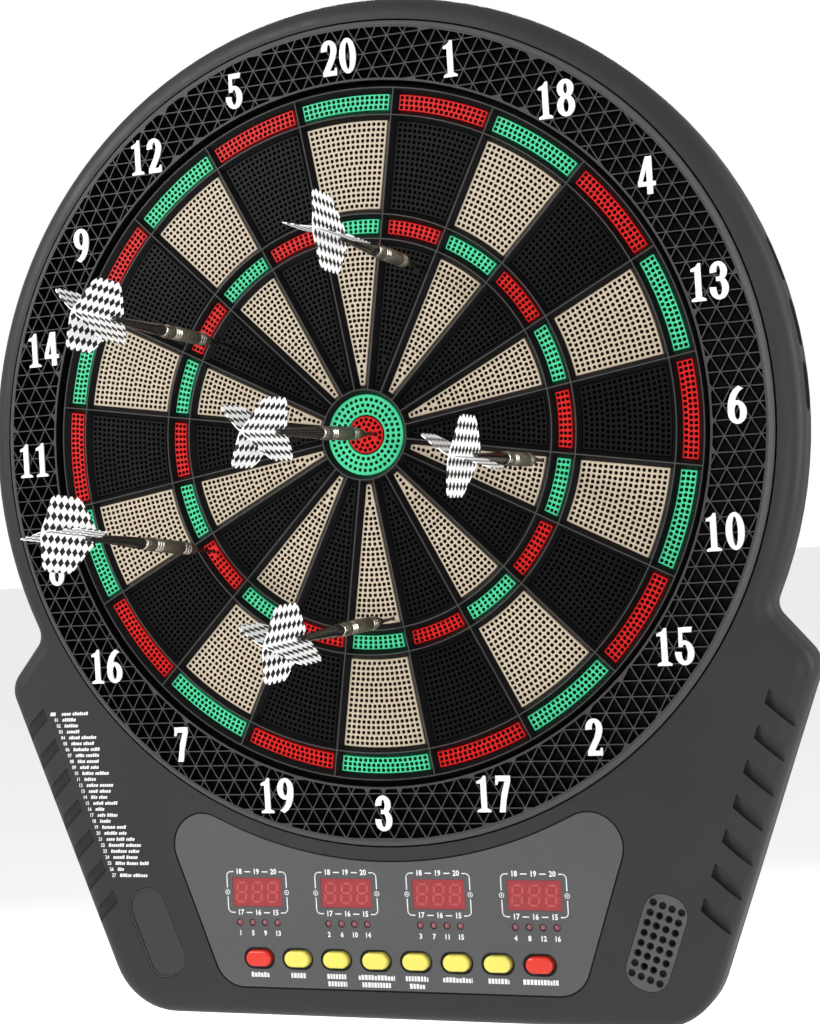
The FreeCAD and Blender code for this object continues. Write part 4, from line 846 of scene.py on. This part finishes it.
class Ink(Shape):
    """Thin raised figures on the plane at a given y."""

    def __init__(self, y):
        super().__init__()
        self.y = y

    def front_and_back(self, outline):
        return (self.loop(outline, self.y - INK_PROUD), self.loop(outline, self.y + INK_SUNK))

    def patch(self, outline):
        """Polygon of (x, z) points, in either direction."""
        if signed_area(outline) < 0:
            outline = outline[::-1]
        self.slab(*self.front_and_back(outline))

    def bar(self, left, right, low, high, slant=0.0):
        self.patch([(left, low), (right, low), (right + slant, high), (left + slant, high)])

    def line(self, points, width):
        """A stroke whose pieces overrun each other a little at the joints."""
        overrun = 0.1
        for (ax, az), (bx, bz) in zip(points[:-1], points[1:]):
            dx, dz = bx - ax, bz - az
            length = math.hypot(dx, dz)
            side_x, side_z = -dz / length * width / 2, dx / length * width / 2
            end_x, end_z = dx / length * width * overrun, dz / length * width * overrun
            self.patch([(ax + side_x - end_x, az + side_z - end_z),
                        (ax - side_x - end_x, az - side_z - end_z),
                        (bx - side_x + end_x, bz - side_z + end_z),
                        (bx + side_x + end_x, bz + side_z + end_z)])

    def text(self, body, x, z, height, bold):
        """Centred text; bold is the outward offset of the letter outlines."""
        size_per_height, narrowing = 1.37, 0.92
        curve = bpy.data.curves.new("t", "FONT")
        curve.body = body
        curve.size = height * size_per_height
        curve.align_x = "CENTER"
        curve.align_y = "CENTER"
        curve.offset = bold
        curve.resolution_u = 2
        obj = bpy.data.objects.new("t", curve)
        scene.collection.objects.link(obj)
        bpy.context.view_layer.update()
        mesh = obj.evaluated_get(bpy.context.evaluated_depsgraph_get()).to_mesh()
        flat = [(vertex.co.x, vertex.co.y) for vertex in mesh.vertices]
        front, back = self.front_and_back([(x + u * narrowing, z + v) for u, v in flat])
        edges = {}
        for polygon in mesh.polygons:
            corners = list(polygon.vertices)
            if signed_area([flat[i] for i in corners]) < 0:
                corners = corners[::-1]
            self.face([front[i] for i in corners])
            self.face([back[i] for i in corners][::-1])
            edges.update(dict.fromkeys(zip(corners, corners[1:] + corners[:1])))
        # sides stand only on the edges that belong to one polygon
        for i, j in edges:
            if (j, i) not in edges:
                self.face([front[j], front[i], back[i], back[j]])
        bpy.data.objects.remove(obj)
        bpy.data.curves.remove(curve)

    def finish(self, name, material):
        obj = self.build(name, [material])
        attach(obj, "board")


WINDOW_PITCH = 49.6
WINDOW_XS = [(i - 1.5) * WINDOW_PITCH for i in range(4)]
WINDOW_Z = -229.2
FRAME_HALF_WIDTH, FRAME_HALF_HEIGHT = 33.4 / 2, 20.9 / 2
FRAME_CORNER_R = 2.2
FRAME_LINE = 0.55
FRAME_SIDE_START = 12.9     # the corner strokes start this far from the window's centre line
BULL_MARK_GAP = 2.3         # half the opening around a bull mark
LABEL_PITCH = 9.8
LABELS = [("18", "17"), ("19", "16"), ("20", "15")]     # above, below
DASH_HALF = 1.7
LED_OFFSETS = [-10.6, -3.5, 3.5, 10.6]
LED_LABEL_Z = -250.2
LABEL_BOLD = 0.12
# x of a button, widths of the words below it
BUTTON_WORDS = [
    (-75.2, [10.0]), (-53.7, [8.2]), (-32.3, [11.0, 10.4]), (-10.8, [19.6, 16.0]),
    (10.8, [12.0, 8.0]), (32.3, [15.4]), (53.7, [10.8]), (75.2, [18.0])]
BUTTON_WORD_Z, BUTTON_LINE_PITCH = -271.3, 3.7


def print_frame(ink, x):
    """Rounded frame of strokes around a window, open at the labels and bull marks."""
    for side in (-1, 1):
        edge_x = x + side * FRAME_HALF_WIDTH
        for up in (-1, 1):
            edge_z = WINDOW_Z + up * FRAME_HALF_HEIGHT
            arc = []
            for i in range(7):
                angle = i * math.pi / 12
                arc.append((edge_x - side * FRAME_CORNER_R * (1 - math.sin(angle)),
                            edge_z - up * FRAME_CORNER_R * (1 - math.cos(angle))))
            ink.line([(x + side * FRAME_SIDE_START, edge_z)] + arc
                     + [(edge_x, WINDOW_Z + up * BULL_MARK_GAP)], FRAME_LINE)
    for up in (-1, 1):
        edge_z = WINDOW_Z + up * FRAME_HALF_HEIGHT
        for side in (-1, 1):
            dash_x = x + side * LABEL_PITCH / 2
            ink.bar(dash_x - DASH_HALF, dash_x + DASH_HALF,
                    edge_z - FRAME_LINE / 2, edge_z + FRAME_LINE / 2)


def print_bull_mark(ink, x, z):
    """A small ring with a dot."""
    ring_r, ring_line, dot_r = 1.15, 0.42, 0.42
    ink.line([(x + ring_r * math.cos(i * math.pi / 8), z + ring_r * math.sin(i * math.pi / 8))
              for i in range(17)], ring_line)
    ink.patch(([(x + dot_r * math.cos(i * math.pi / 4), z + dot_r * math.sin(i * math.pi / 4))
                for i in range(8)]))


def print_window_legend(ink, index, x):
    print_frame(ink, x)
    for j, (above, below) in enumerate(LABELS):
        label_x = x + (j - 1) * LABEL_PITCH
        for label, up in ((above, 1), (below, -1)):
            ink.text(label, label_x, WINDOW_Z + up * FRAME_HALF_HEIGHT,
                     height=2.75, bold=LABEL_BOLD)
    for side in (-1, 1):
        print_bull_mark(ink, x + side * FRAME_HALF_WIDTH, WINDOW_Z)
    for j, offset in enumerate(LED_OFFSETS):
        ink.text(str(index + 1 + len(WINDOW_XS) * j), x + offset, LED_LABEL_Z,
                 height=2.6, bold=LABEL_BOLD)


def print_button_word(ink, x, z, width):
    """A row of word-like blocks."""
    letter_gap, tall, short = 0.42, 1.25, 0.85
    left, right = x - width / 2, x + width / 2
    while left < right - 0.3:
        letter = min(1.0 + 0.5 * rng.random(), right - left)
        top = tall if rng.random() < 0.75 else short
        ink.bar(left, left + letter, z - tall, z + top)
        left += letter + letter_gap


def print_panel():
    ink = Ink(PANEL_Y)
    for index, x in enumerate(WINDOW_XS):
        print_window_legend(ink, index, x)
    for x, widths in BUTTON_WORDS:
        for line, width in enumerate(widths):
            print_button_word(ink, x, BUTTON_WORD_Z - line * BUTTON_LINE_PITCH, width)
    ink.finish("panel_print", "print_white")


def print_list_row(ink, row, x, z):
    """A number, or a block in the top row, and one to three word-like runs of blocks."""
    half_height = 0.95
    letter_gap, word_gap = 0.26, 0.9
    if row > 0:
        ink.text("%02d" % row, x + 3.1, z, height=1.9, bold=0.07)
        left = x + 6.6
    else:
        x += 0.5
        ink.bar(x, x + 3.2, z - half_height, z + half_height, slant=0.4)
        left = x + 7.0
    for _ in range(rng.choice((1, 2, 2, 3))):
        end = left + rng.uniform(3.6, 8.4)
        while left < end:
            letter = rng.uniform(0.75, 1.35)
            top = half_height if rng.random() < 0.4 else half_height * 0.62
            ink.bar(left, left + letter, z - half_height * 0.85, z + top, slant=0.35)
            left += letter + letter_gap
        left += word_gap


def print_list():
    """Numbered list down the left foot; each row starts further right."""
    ink = Ink(CASE_Y)
    for row in range(28):
        print_list_row(ink, row, x=-191.0 + row * 1.13, z=-135.6 - row * 3.17)
    ink.finish("list_print", "print_white")


def print_digit(ink, x, z):
    """An unlit seven-segment digit, leaning right."""
    wide, high, slant = 2.5, 4.9, 0.10      # half sizes between stroke centres; lean
    half = 1.15 / 2                         # of a stroke's thickness
    tip, shoulder = 0.5, 0.95               # how far a stroke's ends are held back

    def stroke(points):
        ink.patch([(x + u + v * slant, z + v) for u, v in points])

    for level in (-high, 0.0, high):
        stroke([(-wide + tip, level), (-wide + shoulder, level - half),
                (wide - shoulder, level - half), (wide - tip, level),
                (wide - shoulder, level + half), (-wide + shoulder, level + half)])
    taper = shoulder - tip
    for side in (-wide, wide):
        out = half if side > 0 else -half
        for low, top in ((-high + tip, -tip), (tip, high - tip)):
            stroke([(side, low), (side + half, low + taper), (side + half, top - taper),
                    (side, top), (side - half, top - taper), (side - half, low + taper)])


def print_digits():
    """Three digits behind each window."""
    digit_pitch = 8.7
    ink = Ink(DIGITS_Y)
    for x in WINDOW_XS:
        for j in range(3):
            print_digit(ink, x + (j - 1) * digit_pitch, WINDOW_Z)
    ink.finish("window_digits", "window_segments")


print_panel()
print_list()
print_digits()


# ---------------------------------------------------------------------------
# floor, world, lights, camera
# ---------------------------------------------------------------------------
def build_floor():
    half, z = 30.0, -0.75   # metres
    mesh = bpy.data.meshes.new("floor")
    mesh.from_pydata([(-half, -half, z), (half, -half, z), (half, half, z), (-half, half, z)],
                     [], [(0, 1, 2, 3)])
    floor = bpy.data.objects.new("floor", mesh)
    scene.collection.objects.link(floor)
    look = Surface("floor_pale")
    clouds = look.noise(look.coords(), scale=3.0)
    base = look.mix(clouds, (0.80, 0.80, 0.80), (0.84, 0.84, 0.84))
    # the floor is lifted towards white for the camera only
    seen = look.node("LightPath").outputs["Is Camera Ray"]
    look.shade({"Base Color": base, "Roughness": 0.85, "Specular IOR Level": 0.2,
                "Emission Color": (1, 1, 1),
                "Emission Strength": look.math("MULTIPLY", seen, 0.50)})
    mesh.materials.append(look.material)


def build_world():
    """White all round: dimmer as a light than as the backdrop the camera sees."""
    light_strength, backdrop_strength = 0.41, 1.0
    world = bpy.data.worlds.new("studio")
    scene.world = world
    world.use_nodes = True
    sky = Nodes(world.node_tree)
    output = sky.node("OutputWorld")
    seen = sky.node("LightPath").outputs["Is Camera Ray"]
    light, backdrop = (sky.node("Background", {0: (1, 1, 1), 1: strength}).outputs[0]
                       for strength in (light_strength, backdrop_strength))
    mixed = sky.node("MixShader", {0: seen, 1: light, 2: backdrop})
    sky.feed(output.inputs[0], mixed.outputs[0])


def area_light(name, place, target, size, power, height=None):
    """Square light, or a rectangle when it has a height; metres and watts."""
    light = bpy.data.lights.new(name, "AREA")
    light.energy = power
    light.size = size
    if height:
        light.shape = "RECTANGLE"
        light.size_y = height
    obj = bpy.data.objects.new(name, light)
    obj.location = place
    aim = Vector(target) - Vector(place)
    obj.rotation_euler = aim.to_track_quat("-Z", "Y").to_euler()
    scene.collection.objects.link(obj)


def build_lights():
    middle = (0, 0, -0.02)
    area_light("key", place=(-1.75, -1.85, 1.15), target=middle, size=1.0, power=59.0)
    area_light("fill", place=(1.5, -2.3, -0.3), target=middle, size=1.2, power=23.0)
    area_light("side", place=(1.7, 0.30, 0.3), target=(0.1, 0, 0), size=0.4, power=18.0,
               height=1.6)
    area_light("left", place=(-1.6, 0.35, 0.2), target=(-0.1, 0, 0), size=0.4, power=0.8,
               height=1.4)
    area_light("behind", place=(-0.7, 2.2, 0.9), target=middle, size=0.9, power=40.0)


def build_camera():
    """In front of the board and to its right, turned a little about the line of sight."""
    yaw, elevation, roll = (math.radians(a) for a in (21.206281, -0.419052, -3.462144))
    distance, shift_right, shift_up = 981.367922, 22.150296, -38.575297
    camera = bpy.data.cameras.new("camera")
    camera.sensor_fit = "VERTICAL"
    camera.sensor_height = 24.0
    camera.lens = 46.0001953
    camera.clip_start = 0.01
    camera.clip_end = 100.0
    obj = bpy.data.objects.new("camera", camera)
    back = Vector((math.sin(yaw) * math.cos(elevation), -math.cos(yaw) * math.cos(elevation),
                   math.sin(elevation)))
    level_right = Vector((math.cos(yaw), math.sin(yaw), 0.0))
    level_up = back.cross(level_right)
    right = math.cos(roll) * level_right + math.sin(roll) * level_up
    up = -math.sin(roll) * level_right + math.cos(roll) * level_up
    place = (back * distance + right * shift_right + up * shift_up) * MM
    obj.matrix_world = Matrix((*zip(right, up, back, place), (0, 0, 0, 1)))
    scene.collection.objects.link(obj)
    scene.camera = obj


build_floor()
build_world()
build_lights()
build_camera()
scene.view_settings.view_transform = "Standard"
scene.view_settings.look = "None"
